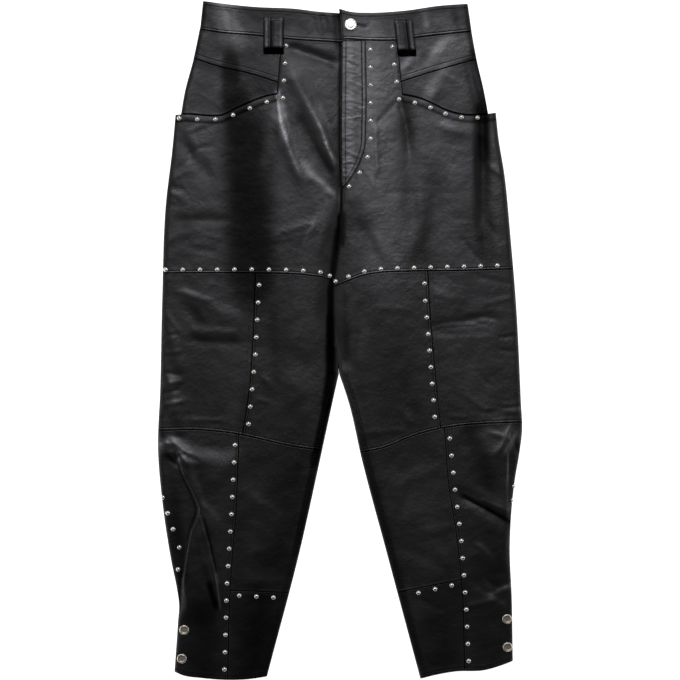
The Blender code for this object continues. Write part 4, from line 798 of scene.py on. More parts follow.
class Panel:
    """A patch of leather between two side curves and two cross curves.

    Its kinds say what its left, right, bottom and top edges are.
    """

    def __init__(self, left, right, bottom, top, kinds, base=front_height, creases=CREASES):
        self.left, self.right, self.bottom, self.top = left, right, bottom, top
        self.kinds, self.base = kinds, base
        self.creases = [crease for crease in creases if self.meets(crease)]

    def meets(self, crease):
        """Whether a crease comes near the panel."""
        x, y = (crease.x0 + crease.x1) / 2, (crease.y0 + crease.y1) / 2
        near = REACH_WIDTHS * crease.half_width
        near += math.hypot(crease.x1 - crease.x0, crease.y1 - crease.y0) / 2 + REACH
        inside_x = self.left(y) - near < x < self.right(y) + near
        return bool(inside_x and self.bottom(x) - near < y < self.top(x) + near)

    def edges(self, x, y):
        """How far in a place is from each edge, in the order of the kinds."""
        return x - self.left(y), self.right(y) - x, y - self.bottom(x), self.top(x) - y

    def height(self, x, y):
        """The outer face above the surface that the trousers lie on."""
        x, y = np.asarray(x, float), np.asarray(y, float)
        level = self.base(x, y) + blend([stroke(crease, x, y) for crease in self.creases])
        for kind, away in zip(self.kinds, self.edges(x, y)):
            level = level + edge_form(kind, away, y)
        return np.maximum(level, LOWEST)

    def gloss(self, x, y):
        """The painted light: painted shade on stitching and beside a lap, darker at cut edges, and a
        painted highlight along a lap.
        """
        shade_and_dark_edge, glint = 0, 0
        for kind, away in zip(self.kinds, self.edges(x, y)):
            shade_and_dark_edge = shade_and_dark_edge + pressed(kind, away)
            if kind == "valley_inseam":
                shade_and_dark_edge = shade_and_dark_edge + legs_apart(y) * pressed("inseam", away)
            if kind in LAPS:
                shade_and_dark_edge = shade_and_dark_edge + dent(away, CUT_EDGE)
            if kind == "under":
                shade_and_dark_edge = shade_and_dark_edge + SHADE * (1 - ease((away - TUCK - SHADE_WIDTH) / SHADE_FADE))
            if kind == "over":
                glint = glint + EDGE_GLINT * dent(away - GLINT_PLACE, GLINT_WIDTH)
        return painted_light_map(x, y) * (1 - MOST_DARKENED * np.clip(shade_and_dark_edge, 0, 1)) * (1 + glint)

    def slopes(self, x, y):
        """How steeply the outer face rises along x and along y."""
        step = SLOPE_STEP
        slope_x = (self.height(x + step, y) - self.height(x - step, y)) / (2 * step)
        slope_y = (self.height(x, y + step) - self.height(x, y - step)) / (2 * step)
        return slope_x, slope_y


class Thigh(Panel):
    """The thigh panel: outside the hip seam it ends at the pocket mouth, inside it at the waist."""

    def __init__(self, outer, inner, hip_seam, way):
        self.outer, self.inner, self.hip_seam, self.way = outer, inner, hip_seam, way

    def inward(self, x, y):
        """How far inside the hip seam a place is; below 0 it is outside."""
        return (x - self.hip_seam(y)) * self.way

    def seam_lap(self, x, y):
        """The lapped edge on the hip seam, which starts at the pocket mouth."""
        above = ease((y - self.outer.top(self.hip_seam(y))) / LAP_START + 0.5)
        return above * edge_form("over", np.maximum(self.inward(x, y), 0))

    def gloss(self, x, y):
        return np.where(self.inward(x, y) >= 0, self.inner.gloss(x, y), self.outer.gloss(x, y))

    def height(self, x, y):
        x, y = np.asarray(x, float), np.asarray(y, float)
        high = self.inner.height(x, y) + self.seam_lap(x, y)
        return np.where(self.inward(x, y) >= 0, high, self.outer.height(x, y))


PANELS = {}


# ---------------------------------------------------------------- laying a panel's mesh

def graded(kind_low, kind_high, length, cell):
    """The lines of mesh across a panel, close together at both edges: (which end, amount)."""
    low, high = GRADES[kind_low], GRADES[kind_high]
    count = max(1, round((length - low[-1] - high[-1]) / cell))
    lines = [("low", distance) for distance in low[:-1]]
    lines += [("middle", step / count) for step in range(count + 1)]
    lines += [("high", distance) for distance in high[-2::-1]]
    return lines, low[-1], high[-1]


def place_line(line, reach, low, high):
    """The coordinate of a line of mesh between two edges, squeezed where the panel is narrow."""
    where, amount = line
    squeeze = np.minimum(1, EDGE_SHARE * (high - low) / max(reach))
    if where == "low":
        return low + amount * squeeze
    if where == "high":
        return high - amount * squeeze
    start, end = low + reach[0] * squeeze, high - reach[1] * squeeze
    return start + (end - start) * amount


def lay_grid(panel, span):
    """x and y of every mesh point of a panel, as rows from its bottom to its top."""
    kinds = panel.kinds
    across, *reach_x = graded(kinds[0], kinds[1], span.width, span.across)
    along, *reach_y = graded(kinds[2], kinds[3], span.length, span.along)
    y = np.linspace(float(panel.bottom(0)), float(panel.top(0)), len(along))[:, None]
    y = np.repeat(y, len(across), 1)
    for _ in range(GRID_ROUNDS):
        left, right = panel.left(y), panel.right(y)
        x = np.stack([place_line(line, reach_x, left[:, place], right[:, place])
                      for place, line in enumerate(across)], axis=1)
        low, high = panel.bottom(x), panel.top(x)
        y = np.stack([place_line(line, reach_y, low[place], high[place])
                      for place, line in enumerate(along)])
    return x, y


def add_skirt(grid, side, edge):
    """Turns a folded side down and in under: more columns at that side, each lower."""
    place, way = (0, 1) if side == "left" else (-1, -1)
    for inward, drop in SKIRT_TURNS:
        _, y, z = grid
        lower = np.minimum(z[:, place] - SKIRT_STEP, EDGE_TOP - SKIRT_TOP - drop)
        column = (edge(y[:, place]) + way * inward, y[:, place], lower)
        pairs = zip(column, grid) if side == "left" else zip(grid, column)
        grid = [np.column_stack(pair) for pair in pairs]
    return grid


def with_rows(part, levels):
    """A grid with its rows at other levels, 0 at its first row and 1 at its last."""
    own = np.linspace(0, 1, len(part))
    return np.stack([np.interp(levels, own, column) for column in part.T], axis=1)


def mesh_object(name, bm, finish, smooth=True):
    """A mesh made an object of one finish."""
    mesh = bpy.data.meshes.new(name)
    bm.to_mesh(mesh)
    bm.free()
    mesh.materials.append(finish)
    if smooth:
        mesh.shade_smooth()
    obj = bpy.data.objects.new(name, mesh)
    bpy.context.scene.collection.objects.link(obj)
    return obj


def grid_object(name, grid):
    """A grid of mesh points as one surface of leather, with the points that meet merged."""
    rows, columns = grid[0].shape
    bm = bmesh.new()
    bmesh.ops.create_grid(bm, x_segments=columns - 1, y_segments=rows - 1, size=1)
    bm.verts.ensure_lookup_table()
    for vert, place in zip(bm.verts, np.stack(grid, axis=-1).reshape(-1, 3) * MM):
        vert.co = place
    bmesh.ops.remove_doubles(bm, verts=bm.verts, dist=MERGE)
    return mesh_object(name, bm, FINISH["leather"])


def painted_light_map(x, y):
    """The painted light and shade at a place, from the painted bands and strokes; 1 where nothing is
    stated.
    """
    strokes = [stroke(band, x, y, BAND_POWER) for band in PAINTED_DARK_BANDS]
    strokes += [stroke(area, x, y) for area in PAINTED_STROKES]
    return np.clip(1 + blend(strokes, PAINTED_LIGHT_BLEND), PAINTED_LIGHT_LEAST, PAINTED_LIGHT_MOST)


def keep_painted_light(obj, gloss):
    """Keeps the painted light and shade at each point of the mesh, where the leather's material reads
    it.
    """
    places = np.empty(3 * len(obj.data.vertices))
    obj.data.vertices.foreach_get("co", places)
    places = places.reshape(-1, 3) / MM
    kept = obj.data.attributes.new("gloss", "FLOAT", "POINT")
    kept.data.foreach_set("value", gloss(places[:, 0], places[:, 1]).ravel())


def add_leather(node, grid, thickness, gloss=painted_light_map):
    """A grid of mesh points made a wall of leather with its outer face there, attached to the body in
    place of its CAD part.
    """
    obj = grid_object(f"{node}_leather", grid)
    keep_painted_light(obj, gloss)
    wall = obj.modifiers.new("wall", "SOLIDIFY")
    wall.thickness = thickness * MM
    wall.offset = -1
    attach(obj, BODY)
    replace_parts(obj, node)


def add_panel(name, span, panel, skirt=None):
    """A panel's leather; its skirt, where it has one, is on its left or its right side."""
    x, y = lay_grid(panel, span)
    grid = [x, y, panel.height(x, y)]
    if skirt:
        grid = add_skirt(grid, skirt, getattr(panel, skirt))
    PANELS[name] = panel
    add_leather(name, grid, LEATHER, panel.gloss)


# ---------------------------------------------------------------- the pieces of leather

def front_centre(leg):
    """The centre line, as far from it as a leg's front stops."""
    return moved(CENTRE, -CENTRE_GAP * INWARD[leg])


def leg_panel(leg, outer, inner, bottom, top, kinds, base=front_height):
    """A panel with its outer and inner sides put left and right, as its leg wants them."""
    if leg == "right":
        return Panel(outer, inner, bottom, top, kinds, base)
    return Panel(inner, outer, bottom, top, (kinds[1], kinds[0], *kinds[2:]), base)


def hip_plans(leg):
    """The hip yoke, and the pocket facing below it."""
    curves = CURVES[leg]
    seam = moved(curves.hip_seam, TUCK * INWARD[leg])
    return [
        Plan("hip_yoke", curves.hip_side, seam, curves.yoke, moved(curves.waist, TUCK),
             ("fold", "under", "yoke", "under"), yoke_height),
        Plan("pocket_facing", curves.hip_side, seam, moved(curves.mouth, -TUCK),
             moved(curves.yoke, TUCK), ("fold", "under", "under", "under"), facing_height),
    ]


def lower_plans(leg):
    """The panels below the thigh seam."""
    curves, way = CURVES[leg], INWARD[leg]
    inner = split(front_centre(leg), curves.inner, CROTCH_Y)
    knee_tuck, shin_tuck = moved(curves.knee, TUCK * way), moved(curves.shin, -TUCK * way)
    knee_top, shin_top = moved(curves.thigh, TUCK), moved(curves.calf, TUCK)
    return [
        Plan("knee_outer", curves.side, knee_tuck, curves.calf, knee_top,
             ("fold", "under", "over", "under"), front_height),
        Plan("knee_inner", curves.knee, inner, curves.calf, knee_top,
             ("over", "valley_inseam", "over", "under"), front_height),
        Plan("shin_outer", curves.side, curves.shin, curves.hem, shin_top,
             ("fold", "over", "hem", "under"), front_height),
        Plan("shin_inner", shin_tuck, inner, moved(curves.cuff, -TUCK), shin_top,
             ("under", "inseam", "under", "under"), front_height),
        Plan("cuff_inner", shin_tuck, inner, curves.hem, curves.cuff,
             ("under", "inseam", "hem", "over"), front_height),
    ]


def add_leg_panels(leg, plans):
    """A leg's panels; those whose outer side is folded turn in under it."""
    for plan in plans:
        panel = leg_panel(leg, *plan[1:])
        skirt = OUTER_SIDE[leg] if plan.kinds[0] == "fold" else None
        add_panel(f"{plan.name}_{leg}", SPANS[plan.name], panel, skirt)


def add_thigh(leg):
    """A thigh panel, of two grids with the same rows that meet on the hip seam."""
    curves, way = CURVES[leg], INWARD[leg]
    outer = leg_panel(leg, curves.side, curves.hip_seam, curves.thigh, curves.mouth,
                      ("fold", "plain", "over", "mouth"))
    inner = leg_panel(leg, curves.hip_seam, front_centre(leg), curves.thigh,
                      moved(curves.waist, TUCK), ("plain", "valley", "over", "under"))
    panel = Thigh(outer, inner, curves.hip_seam, way)
    outer_x, outer_y = lay_grid(outer, SPANS["thigh_outer"])
    inner_x, inner_y = lay_grid(inner, SPANS["thigh_inner"])
    outer_seam, inner_seam = (-1, 0) if way > 0 else (0, -1)
    outer_x[:, outer_seam] -= HIP_COLUMN_GAP * way
    shares = np.linspace(0, 1, len(outer_y))
    levels = np.interp(inner_y[:, inner_seam], outer_y[:, outer_seam], shares)
    grids = [[with_rows(outer_x, levels), with_rows(outer_y, levels)], [inner_x, inner_y]]
    x, y = (np.concatenate(parts[::way], axis=1) for parts in zip(*grids))
    grid = add_skirt([x, y, panel.height(x, y)], OUTER_SIDE[leg], curves.side)
    PANELS[f"thigh_{leg}"] = panel
    add_leather(f"thigh_{leg}", grid, LEATHER, panel.gloss)


def add_leg_front(leg):
    """All the front panels of a leg."""
    add_leg_panels(leg, hip_plans(leg))
    add_thigh(leg)
    add_leg_panels(leg, lower_plans(leg))


def add_waistband():
    """The band's front halves, the left one over the end of the right one."""
    right = Panel(BAND_SIDE_RIGHT, moved(BAND_END, BAND_UNDERLAP), WAIST_SEAM_RIGHT,
                  WAIST_TOP_RIGHT, ("fold", "plain", "over", "hem"), band_height)
    left = Panel(moved(BAND_END, BAND_END_GAP), BAND_SIDE_LEFT, WAIST_SEAM_LEFT, WAIST_TOP_LEFT,
                 ("over", "fold", "over", "hem"), lambda x, y: band_height(x, y) + BAND_OVERLAP)
    add_panel("waistband_right", SPANS["waistband"], right, "left")
    add_panel("waistband_left", SPANS["waistband"], left, "right")


def add_back_piece(node, span, left, right, bottom, top, thickness):
    """A back piece, which lies on its outer face with a few soft folds standing up from the floor."""
    panel = Panel(left, right, bottom, top, ("plain",) * 4)
    x, y = lay_grid(panel, span)
    edge = np.minimum(x - left(y), right(y) - x)
    folds = blend([stroke(fold, -np.abs(x), y) for fold in BACK_CREASES])
    folds = folds * ease((edge - BACK_FLAT) / BACK_FLAT_FADE)
    add_leather(node, [x, y, thickness + folds], thickness)


def back_seam(inner, by):
    """The back's middle seam, beside the front one, and a leg's inner edge below the crotch."""
    seam = split(CENTRE, inner, CROTCH_Y)
    return lambda y: seam(y) + by - BACK_SEAM * ease((y - CROTCH_Y) / BACK_SEAM_FADE)


def add_backs():
    """The backs of the legs, and the back of the waistband."""
    hip_right = moved(split(HIP_SIDE_RIGHT, SIDE_RIGHT, HIP_FOOT_Y), BACK_INSET)
    hip_left = moved(split(HIP_SIDE_LEFT, SIDE_LEFT, HIP_FOOT_Y), -BACK_INSET)
    add_back_piece("back_right", SPANS["back"], hip_right, back_seam(INNER_RIGHT, -BACK_GAP),
                   moved(HEM_RIGHT, HEM_INSET), WAIST_SEAM_BACK, BACK_LEATHER)
    add_back_piece("back_left", SPANS["back"], back_seam(INNER_LEFT, BACK_GAP), hip_left,
                   moved(HEM_LEFT, HEM_INSET), WAIST_SEAM_BACK, BACK_LEATHER)
    add_back_piece("waistband_back", SPANS["waistband_back"], moved(BAND_SIDE_RIGHT, BACK_INSET),
                   moved(BAND_SIDE_LEFT, -BACK_INSET), moved(WAIST_SEAM_BACK, BAND_BACK_GAP),
                   WAIST_TOP_BACK, BAND_BACK_LEATHER)


def fly_creases():
    """Fine creases across the fly strip, drawn together by its stitching."""
    chance = np.random.default_rng(FLY_SEED)
    creases = []
    for y in np.arange(FLY_FOOT + FLY_PLAIN_FOOT, FLY_HEAD - FLY_PLAIN_HEAD, FLY_CREASE_PITCH):
        start, length = chance.uniform(*FLY_CREASE.start), chance.uniform(*FLY_CREASE.length)
        slant = chance.uniform(*FLY_CREASE.slant) * length
        y0 = y + chance.uniform(*FLY_CREASE.shift)
        creases.append(Fold(start, y0, min(FLY_CREASE_END, start + length), y0 + slant,
                            chance.uniform(*FLY_CREASE.height),
                            chance.uniform(*FLY_CREASE.half_width)))
    return creases


def fly_height(x, y):
    """The outer face of the fly strip, on the left front."""
    return front_height(x, y) + LEATHER + FLY_GAP


def add_fly():
    """The fly strip, which ends in a curve at its foot."""
    panel = Panel(moved(CENTRE, CENTRE_GAP), FLY_EDGE, level_line(FLY_FOOT), level_line(FLY_HEAD),
                  ("hem", "twin", "plain", "plain"), fly_height, fly_creases())
    add_panel("fly", SPANS["fly"], panel)


# ---------------------------------------------------------------- belt loops

def loop_height(loop, share, y, low, high):
    """The outer face of a belt loop: two puffed strips, and a roll at its lower end."""
    seat_below = float(front_height(np.array([loop.x]), np.array([low])).max()) + LOOP_SEAT
    up = ease((y - low - LOOP_FOOT) / LOOP_BEND)
    seat = seat_below + (BAND_TOP + LOOP_SEAT - seat_below) * up
    foot = 1 - tip(y - low, LOOP_ROLL)
    head = ease((high - y + LOOP_HEAD_END) / LOOP_HEAD_FADE)
    channel = LOOP_CHANNEL_SHARE * np.sign(loop.x)
    half = np.where(share < channel, 1 + channel, 1 - channel) / 2
    middle = np.where(share < channel, channel - half, channel + half)
    crown = np.sqrt(np.clip(1 - ((share - middle) / half / LOOP_CROWN_WIDTH) ** 2, 0, 1))
    puff = crown * LOOP_CROWN - LOOP_CROWN_FOOT
    roll = LOOP_ROLL_RISE * dent(y - low - LOOP_ROLL, LOOP_ROLL_FADE)
    rise = LOOP_WALL + LOOP_GAP + LOOP_LIFT + puff + roll
    return seat + LOOP_SEAT + rise * np.minimum(foot, LOOP_HEAD + (1 - LOOP_HEAD) * head)


def painted_line(line, away):
    """How strongly a line of painted highlight or painted shade along a belt loop is felt at a place.
    """
    return line.amount * dent(away - line.place, line.width)


def loop_painted_light(shares, channel, up):
    """Painted highlights beside the channel and along the strips' shoulders, and painted shade in the
    channel, at the edges and on the roll at the lower end.
    """
    side = np.abs(shares)
    bright = painted_line(LOOP_INNER_GLEAM, shares - channel) + painted_line(LOOP_OUTER_GLEAM, side)
    dark = painted_line(LOOP_CHANNEL_SHADE, shares - channel) + painted_line(LOOP_EDGE_SHADE, side)
    gloss = (LOOP_PAINTED_LIGHT + bright - dark) * ease((up - LOOP_ROLL) / LOOP_ROLL)
    return np.clip(gloss, *LOOP_PAINTED_LIGHT_RANGE)


def loop_shares(channel):
    """Where a belt loop's mesh has columns, from -1 at its left edge to 1 at its right one."""
    outer, near = np.array(LOOP_OUTER_COLUMNS), np.array(LOOP_CHANNEL_COLUMNS) + channel
    return np.unique(np.concatenate([outer, near, -outer, np.linspace(*LOOP_MIDDLE_COLUMNS)]))


def add_loops():
    """Belt loops, each folded into a roll at its lower end."""
    for name, loop in LOOPS.items():
        low, high = loop.y - LOOP_LENGTH / 2 - LOOP_TAIL, loop.y + LOOP_LENGTH / 2
        sway = loop.lean * LOOP_LENGTH / 2
        axis = straight(low, loop.x + sway, high, loop.x - sway)
        rows = np.concatenate([LOOP_ROLL_ROWS, np.linspace(*LOOP_EVEN_ROWS)])
        along = low + (high - low) * rows
        channel = LOOP_CHANNEL_SHARE * np.sign(loop.x)
        shares = loop_shares(channel)
        wide = 1 + LOOP_ROLL_WIDER * dent(along - low - LOOP_ROLL, LOOP_ROLL_SPREAD)
        x = axis(along)[:, None] + loop.width / 2 * shares[None, :] * wide[:, None]
        y = np.repeat(along[:, None], len(shares), 1)
        z = loop_height(loop, shares[None, :] + 0 * y, y, low, high)
        z[:, [0, -1]] -= LOOP_EDGE_DROP
        gloss = loop_painted_light(shares, channel, y - low)
        add_leather(name, [x, y, z], LOOP_LEATHER, lambda _x, _y: gloss)


# ---------------------------------------------------------------- stitching and metal

def turned_mesh(name, rings, radius, steps):
    """A mesh turned round +Z, from its rings."""
    bm = bmesh.new()
    verts = [bm.verts.new(Vector((ring.share * radius, 0, ring.height)) * MM) for ring in rings]
    edges = [bm.edges.new(pair) for pair in zip(verts, verts[1:])]
    bmesh.ops.spin(bm, geom=[*verts, *edges], axis=(0, 0, 1), cent=(0, 0, 0),
                   angle=math.tau, steps=steps, use_merge=True)
    bmesh.ops.remove_doubles(bm, verts=bm.verts, dist=MERGE)
    bmesh.ops.recalc_face_normals(bm, faces=bm.faces[:])
    mesh = bpy.data.meshes.new(name)
    bm.to_mesh(mesh)
    bm.free()
    return mesh


def stitch_mesh():
    """One stitch: a thread that dips into the leather at both ends."""
    bm = bmesh.new()
    size = Matrix.Diagonal((STITCH_LENGTH / 2, STITCH_WIDTH / 2, STITCH_HEIGHT, 1)) * MM
    size[3][3] = 1
    bmesh.ops.create_uvsphere(bm, u_segments=6, v_segments=4, radius=1,
                              matrix=size @ Matrix.Rotation(math.pi / 2, 4, "Y"))
    mesh = bpy.data.meshes.new("stitch")
    bm.to_mesh(mesh)
    bm.free()
    return mesh


def spread(places, count):
    """Evenly spaced places along a broken line."""
    points = np.array(places, float)
    run = np.concatenate([[0], np.cumsum(np.hypot(*np.diff(points, axis=0).T))])
    at = np.linspace(0, run[-1], count)
    return np.stack([np.interp(at, run, points[:, axis]) for axis in (0, 1)], axis=1)


def seats(panel, places, lift=0.0, along=None):
    """Stands pieces on a panel's outer face, square to it, and turned along a direction."""
    x, y = np.array(places, float).T
    slope_x, slope_y = panel.slopes(x, y)
    z = panel.height(x, y) + lift
    along = np.tile((1.0, 0.0), (len(x), 1)) if along is None else along
    matrices = []
    for index in range(len(x)):
        normal = Vector((-slope_x[index], -slope_y[index], 1)).normalized()
        across = normal.cross(Vector((*along[index], 0))).normalized()
        turn = Matrix((across.cross(normal), across, normal)).transposed()
        place = Vector((x[index], y[index], z[index])) * MM
        matrices.append(Matrix.Translation(place) @ turn.to_4x4())
    return matrices


def add_copies(name, mesh, matrices, finish):
    """Copies of one small mesh, joined into one piece."""
    bm = bmesh.new()
    for matrix in matrices:
        before = len(bm.verts)
        bm.from_mesh(mesh)
        bm.verts.ensure_lookup_table()
        bmesh.ops.transform(bm, matrix=matrix, verts=bm.verts[before:])
    obj = mesh_object(name, bm, finish)
    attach(obj, BODY)
    return obj


def stitch_rows():
    """Every row of stitching on the garment."""
    rows = []
    for leg, curves in CURVES.items():
        for seam in CROSS_SEAMS:
            ends = seam.right if leg == "right" else seam.left
            rows.append(Stitches(f"{seam.panel}_{leg}", "cross", getattr(curves, seam.curve),
                                 *ends, seam.offset))
        for seam in DOWN_SEAMS:
            rows.append(Stitches(f"{seam.panel}_{leg}", "down", getattr(curves, seam.curve),
                                 seam.low, seam.high, seam.offset * INWARD[leg]))
    return rows + OTHER_STITCHES


def add_stitching():
    """The rows of stitching, as one piece for each panel."""
    stitch = stitch_mesh()
    placed = {}
    for row in stitch_rows():
        panel = PANELS[row.panel]
        path = np.linspace(row.start, row.end, STITCH_PATH_POINTS)
        off = row.curve(path) + row.offset
        path = np.stack([path, off] if row.way == "cross" else [off, path], axis=1)
        length = np.hypot(*np.diff(path, axis=0).T).sum()
        places = spread(path, max(2, round(length / STITCH_PITCH)))
        steps = np.gradient(places, axis=0)
        placed.setdefault(row.panel, []).extend(seats(panel, places, STITCH_LIFT, steps))
    for name, matrices in placed.items():
        add_copies(f"stitching_{name}", stitch, matrices, FINISH["thread"])


def add_buttonhole():
    """The slot beside the button, bound with thread."""
    turns = np.linspace(0, math.tau, HOLE_THREADS, endpoint=False)
    x = HOLE.x + HOLE_LENGTH / 2 * np.cos(turns)
    y = HOLE.y - HOLE_SLANT * (x - HOLE.x) + HOLE_WIDTH / 2 * np.sin(turns)
    outward = np.stack([np.cos(turns) * HOLE_WIDTH, np.sin(turns) * HOLE_LENGTH], axis=1)
    matrices = seats(PANELS["waistband_left"], np.stack([x, y], axis=1), HOLE_LIFT, outward)
    add_copies("buttonhole_thread", stitch_mesh(), matrices, FINISH["thread"])


def add_studs():
    """Dome studs on the seams' laps, as one piece for each panel."""
    head = turned_mesh("stud", STUD_RINGS, STUD_RADIUS, STUD_STEPS)
    placed = {}
    for line in STUD_LINES:
        places = spread(line.places, line.count)
        placed.setdefault(line.panel, []).extend(seats(PANELS[line.panel], places))
    for name, matrices in placed.items():
        add_copies(f"studs_{name}", head, matrices, FINISH["nickel"])


def add_snaps():
    """The snaps at the hems."""
    cap = turned_mesh("snap", SNAP_RINGS, SNAP_RADIUS, SNAP_STEPS)
    for name, place in SNAPS.items():
        panel = PANELS["shin_outer_right" if place.x < 0 else "shin_outer_left"]
        seat = seats(panel, [place], CAP_LIFT)
        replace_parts(add_copies(f"{name}_cap", cap, seat, FINISH["brass"]), name)


def add_button():
    """The button at the waist."""
    button = turned_mesh("button", BUTTON_RINGS, BUTTON_RADIUS, BUTTON_STEPS)
    seat = seats(PANELS["waistband_left"], [BUTTON], CAP_LIFT)
    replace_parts(add_copies("waist_button_cap", button, seat, FINISH["nickel"]),
                "waist_button")


# ---------------------------------------------------------------- materials

LEATHER_COLOUR, LEATHER_IOR = (0.0046, 0.0043, 0.0042), 2.2
LEATHER_SPECULAR = 0.16  # where the painted light isn't read
LEATHER_ROUGHNESS = (0.37, 0.48)
PAINTED_LIGHT_FULL = 6.2  # the painted light at which the leather reflects most
BLACK_LEAST, BLACK_FULL = 0.05, 0.9  # painted shade in the colour: its least share, and the painted light that has it all
CLOUD_SCALE, WAVE_SCALE, RIPPLE_SCALE, GRAIN_SCALE = 28, 42, 150, 1100
CLOUD_DETAIL, WAVE_DETAIL, RIPPLE_DETAIL = 5, 4, 3
CLOUD_RANGE = (0.3, 0.7)  # the part of the cloud's values that is used
RIPPLE_DISTORTION = 0.6
GRAIN_RELIEF, WAVE_RELIEF = Relief(0.08, 0.0001), Relief(0.6, 0.002)
RIPPLE_RELIEF = Relief(0.24, 0.0006)


def new_material(name):
    """A new material with its nodes and links."""
    made = bpy.data.materials.new(name)
    made.use_nodes = True
    return made, made.node_tree.nodes, made.node_tree.links


def add_noise(nodes, links, place, scale, detail):
    """Noise that stays fixed to the garment."""
    noise = nodes.new("ShaderNodeTexNoise")
    noise.inputs["Scale"].default_value = scale
    noise.inputs["Detail"].default_value = detail
    links.new(place.outputs["Object"], noise.inputs["Vector"])
    return noise


def add_range(nodes, links, value, low, high, from_low=0.0, from_high=1.0):
    """A value mapped from one range to another, and held at its ends."""
    mapped = nodes.new("ShaderNodeMapRange")
    mapped.inputs["From Min"].default_value = from_low
    mapped.inputs["From Max"].default_value = from_high
    mapped.inputs["To Min"].default_value = low
    mapped.inputs["To Max"].default_value = high
    links.new(value, mapped.inputs["Value"])
    return mapped.outputs["Result"]


def add_bump(nodes, links, relief, height, below=None):
    """A relief, on top of another one where that is given."""
    bump = nodes.new("ShaderNodeBump")
    bump.inputs["Strength"].default_value = relief.strength
    bump.inputs["Distance"].default_value = relief.distance
    links.new(height, bump.inputs["Height"])
    if below:
        links.new(below, bump.inputs["Normal"])
    return bump.outputs["Normal"]


def link_painted_light(nodes, links, shader):
    """Paints light and shade: the leather reflects more, and its black is less deep, where the
    painted light is greater.
    """
    gloss = nodes.new("ShaderNodeAttribute")
    gloss.attribute_name = "gloss"
    shader.inputs["Specular IOR Level"].default_value = LEATHER_SPECULAR
    level = add_range(nodes, links, gloss.outputs["Fac"], 0, 1, 0, PAINTED_LIGHT_FULL)
    links.new(level, shader.inputs["Specular IOR Level"])
    depth = add_range(nodes, links, gloss.outputs["Fac"], BLACK_LEAST, 1, 0, BLACK_FULL)
    tone = nodes.new("ShaderNodeVectorMath")
    tone.operation = "SCALE"
    tone.inputs[0].default_value = LEATHER_COLOUR
    links.new(depth, tone.inputs["Scale"])
    links.new(tone.outputs["Vector"], shader.inputs["Base Color"])


def link_relief(nodes, links, place, shader):
    """The leather's grain, its soft unevenness and its fine crumpling, one on the other."""
    grain = nodes.new("ShaderNodeTexVoronoi")
    grain.feature = "SMOOTH_F1"
    grain.inputs["Scale"].default_value = GRAIN_SCALE
    links.new(place.outputs["Object"], grain.inputs["Vector"])
    fine = add_bump(nodes, links, GRAIN_RELIEF, grain.outputs["Distance"])
    wave = add_noise(nodes, links, place, WAVE_SCALE, WAVE_DETAIL)
    soft = add_bump(nodes, links, WAVE_RELIEF, wave.outputs["Fac"], fine)
    ripple = add_noise(nodes, links, place, RIPPLE_SCALE, RIPPLE_DETAIL)
    ripple.inputs["Distortion"].default_value = RIPPLE_DISTORTION
    crumpled = add_bump(nodes, links, RIPPLE_RELIEF, ripple.outputs["Fac"], soft)
    links.new(crumpled, shader.inputs["Normal"])


def leather_finish():
    """Smooth black leather with a fine grain, and painted highlights, reflections and shade over the
    garment.
    """
    made, nodes, links = new_material("black leather")
    shader = nodes["Principled BSDF"]
    shader.inputs["IOR"].default_value = LEATHER_IOR
    place = nodes.new("ShaderNodeTexCoord")
    cloud = add_noise(nodes, links, place, CLOUD_SCALE, CLOUD_DETAIL)
    rough = add_range(nodes, links, cloud.outputs["Fac"], *LEATHER_ROUGHNESS, *CLOUD_RANGE)
    links.new(rough, shader.inputs["Roughness"])
    link_painted_light(nodes, links, shader)
    link_relief(nodes, links, place, shader)
    return made


def plain_finish(name, colour, roughness, metallic=0.0):
    """A material of one colour and one roughness."""
    made, nodes, _ = new_material(name)
    shader = nodes["Principled BSDF"]
    shader.inputs["Base Color"].default_value = colour
    shader.inputs["Metallic"].default_value = metallic
    shader.inputs["Roughness"].default_value = roughness
    return made


FINISH = {
    "leather": leather_finish(),
    "thread": plain_finish("black thread", (0.006, 0.006, 0.006, 1), 0.8),
    "nickel": plain_finish("nickel", (0.93, 0.90, 0.82, 1), 0.3, 1),
    "brass": plain_finish("aged brass", (0.76, 0.69, 0.58, 1), 0.36, 1),
}


# ---------------------------------------------------------------- stage, in metres

FLOOR_COLOUR, FLOOR_ROUGHNESS, FLOOR_GLOW = (1.0, 1.0, 1.0, 1), 0.9, 1.0
FLOOR_HALF, FLOOR_DROP = 6, 0.0004  # half its width, and how far it lies below the leather
LENS, SENSOR, CAMERA_REACH = 135, 36, 50
CAMERA_Y = 0.00035
FRAME_WIDTH, FRAME_Z = 0.952, 0.006  # the picture's width at this height
WORLD_SIDES, WORLD_TOP, WORLD_FADE = 0.5, 0.03, 0.72  # brightness, and where it fades upward

LIGHTS = [
    Light("key", (-0.1, 1.5, 3.2), (1.6, 1.0), 37, (0.93, 0.93, 1.0)),
    Light("left fill", (-2.4, -0.4, 1.2), (1.0, 1.6), 9, (1, 1, 1)),
    Light("right fill", (2.4, 0.2, 1.2), (1.0, 1.6), 8, (1, 1, 1)),
]


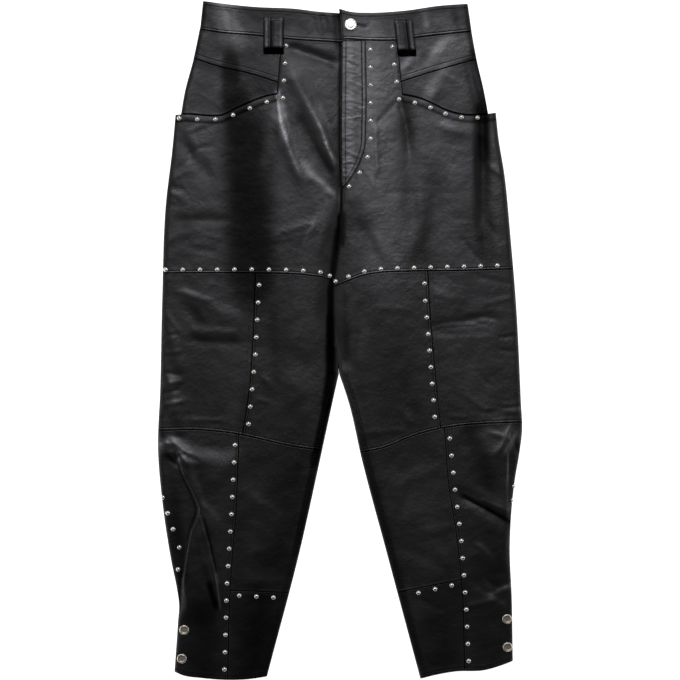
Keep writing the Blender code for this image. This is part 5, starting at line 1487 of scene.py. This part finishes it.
def add_floor():
    """A pale floor that gives off as much light as a lit table, so that it stays white."""
    bm = bmesh.new()
    bmesh.ops.create_grid(bm, x_segments=1, y_segments=1, size=FLOOR_HALF)
    finish = plain_finish("pale floor", FLOOR_COLOUR, FLOOR_ROUGHNESS)
    shader = finish.node_tree.nodes["Principled BSDF"]
    shader.inputs["Emission Color"].default_value = FLOOR_COLOUR
    shader.inputs["Emission Strength"].default_value = FLOOR_GLOW
    floor = mesh_object("floor", bm, finish, smooth=False)
    floor.data.transform(Matrix.Translation((0, 0, -FLOOR_DROP)))


def add_light(light):
    """A rectangular light that faces the origin."""
    lamp = bpy.data.lights.new(light.name, "AREA")
    lamp.shape = "RECTANGLE"
    lamp.size, lamp.size_y = light.size
    lamp.energy = light.power
    lamp.color = light.colour
    obj = bpy.data.objects.new(light.name, lamp)
    obj.location = light.place
    obj.rotation_euler = Vector(light.place).to_track_quat("Z", "Y").to_euler()
    bpy.context.scene.collection.objects.link(obj)


def add_camera():
    """A camera straight above, which looks down on the whole garment."""
    camera = bpy.data.cameras.new("camera")
    camera.lens, camera.sensor_width = LENS, SENSOR
    camera.clip_end = CAMERA_REACH
    obj = bpy.data.objects.new("camera", camera)
    obj.location = (0, CAMERA_Y, FRAME_WIDTH * LENS / SENSOR + FRAME_Z)
    bpy.context.scene.collection.objects.link(obj)
    bpy.context.scene.camera = obj


def add_world():
    """A studio that is dark overhead and paler round the sides."""
    world = bpy.data.worlds.new("studio")
    world.use_nodes = True
    nodes, links = world.node_tree.nodes, world.node_tree.links
    place = nodes.new("ShaderNodeTexCoord")
    parts = nodes.new("ShaderNodeSeparateXYZ")
    links.new(place.outputs["Generated"], parts.inputs["Vector"])
    level = add_range(nodes, links, parts.outputs["Z"], WORLD_SIDES, WORLD_TOP, 0.0, WORLD_FADE)
    links.new(level, nodes["Background"].inputs["Strength"])
    nodes["Background"].inputs["Color"].default_value = (1, 1, 1, 1)
    bpy.context.scene.world = world
    bpy.context.scene.view_settings.view_transform = "Standard"


add_camera()
add_floor()
add_world()
for light in LIGHTS:
    add_light(light)
add_backs()
add_leg_front("right")
add_leg_front("left")
add_waistband()
add_fly()
add_loops()
add_buttonhole()
add_stitching()
add_studs()
add_snaps()
add_button()
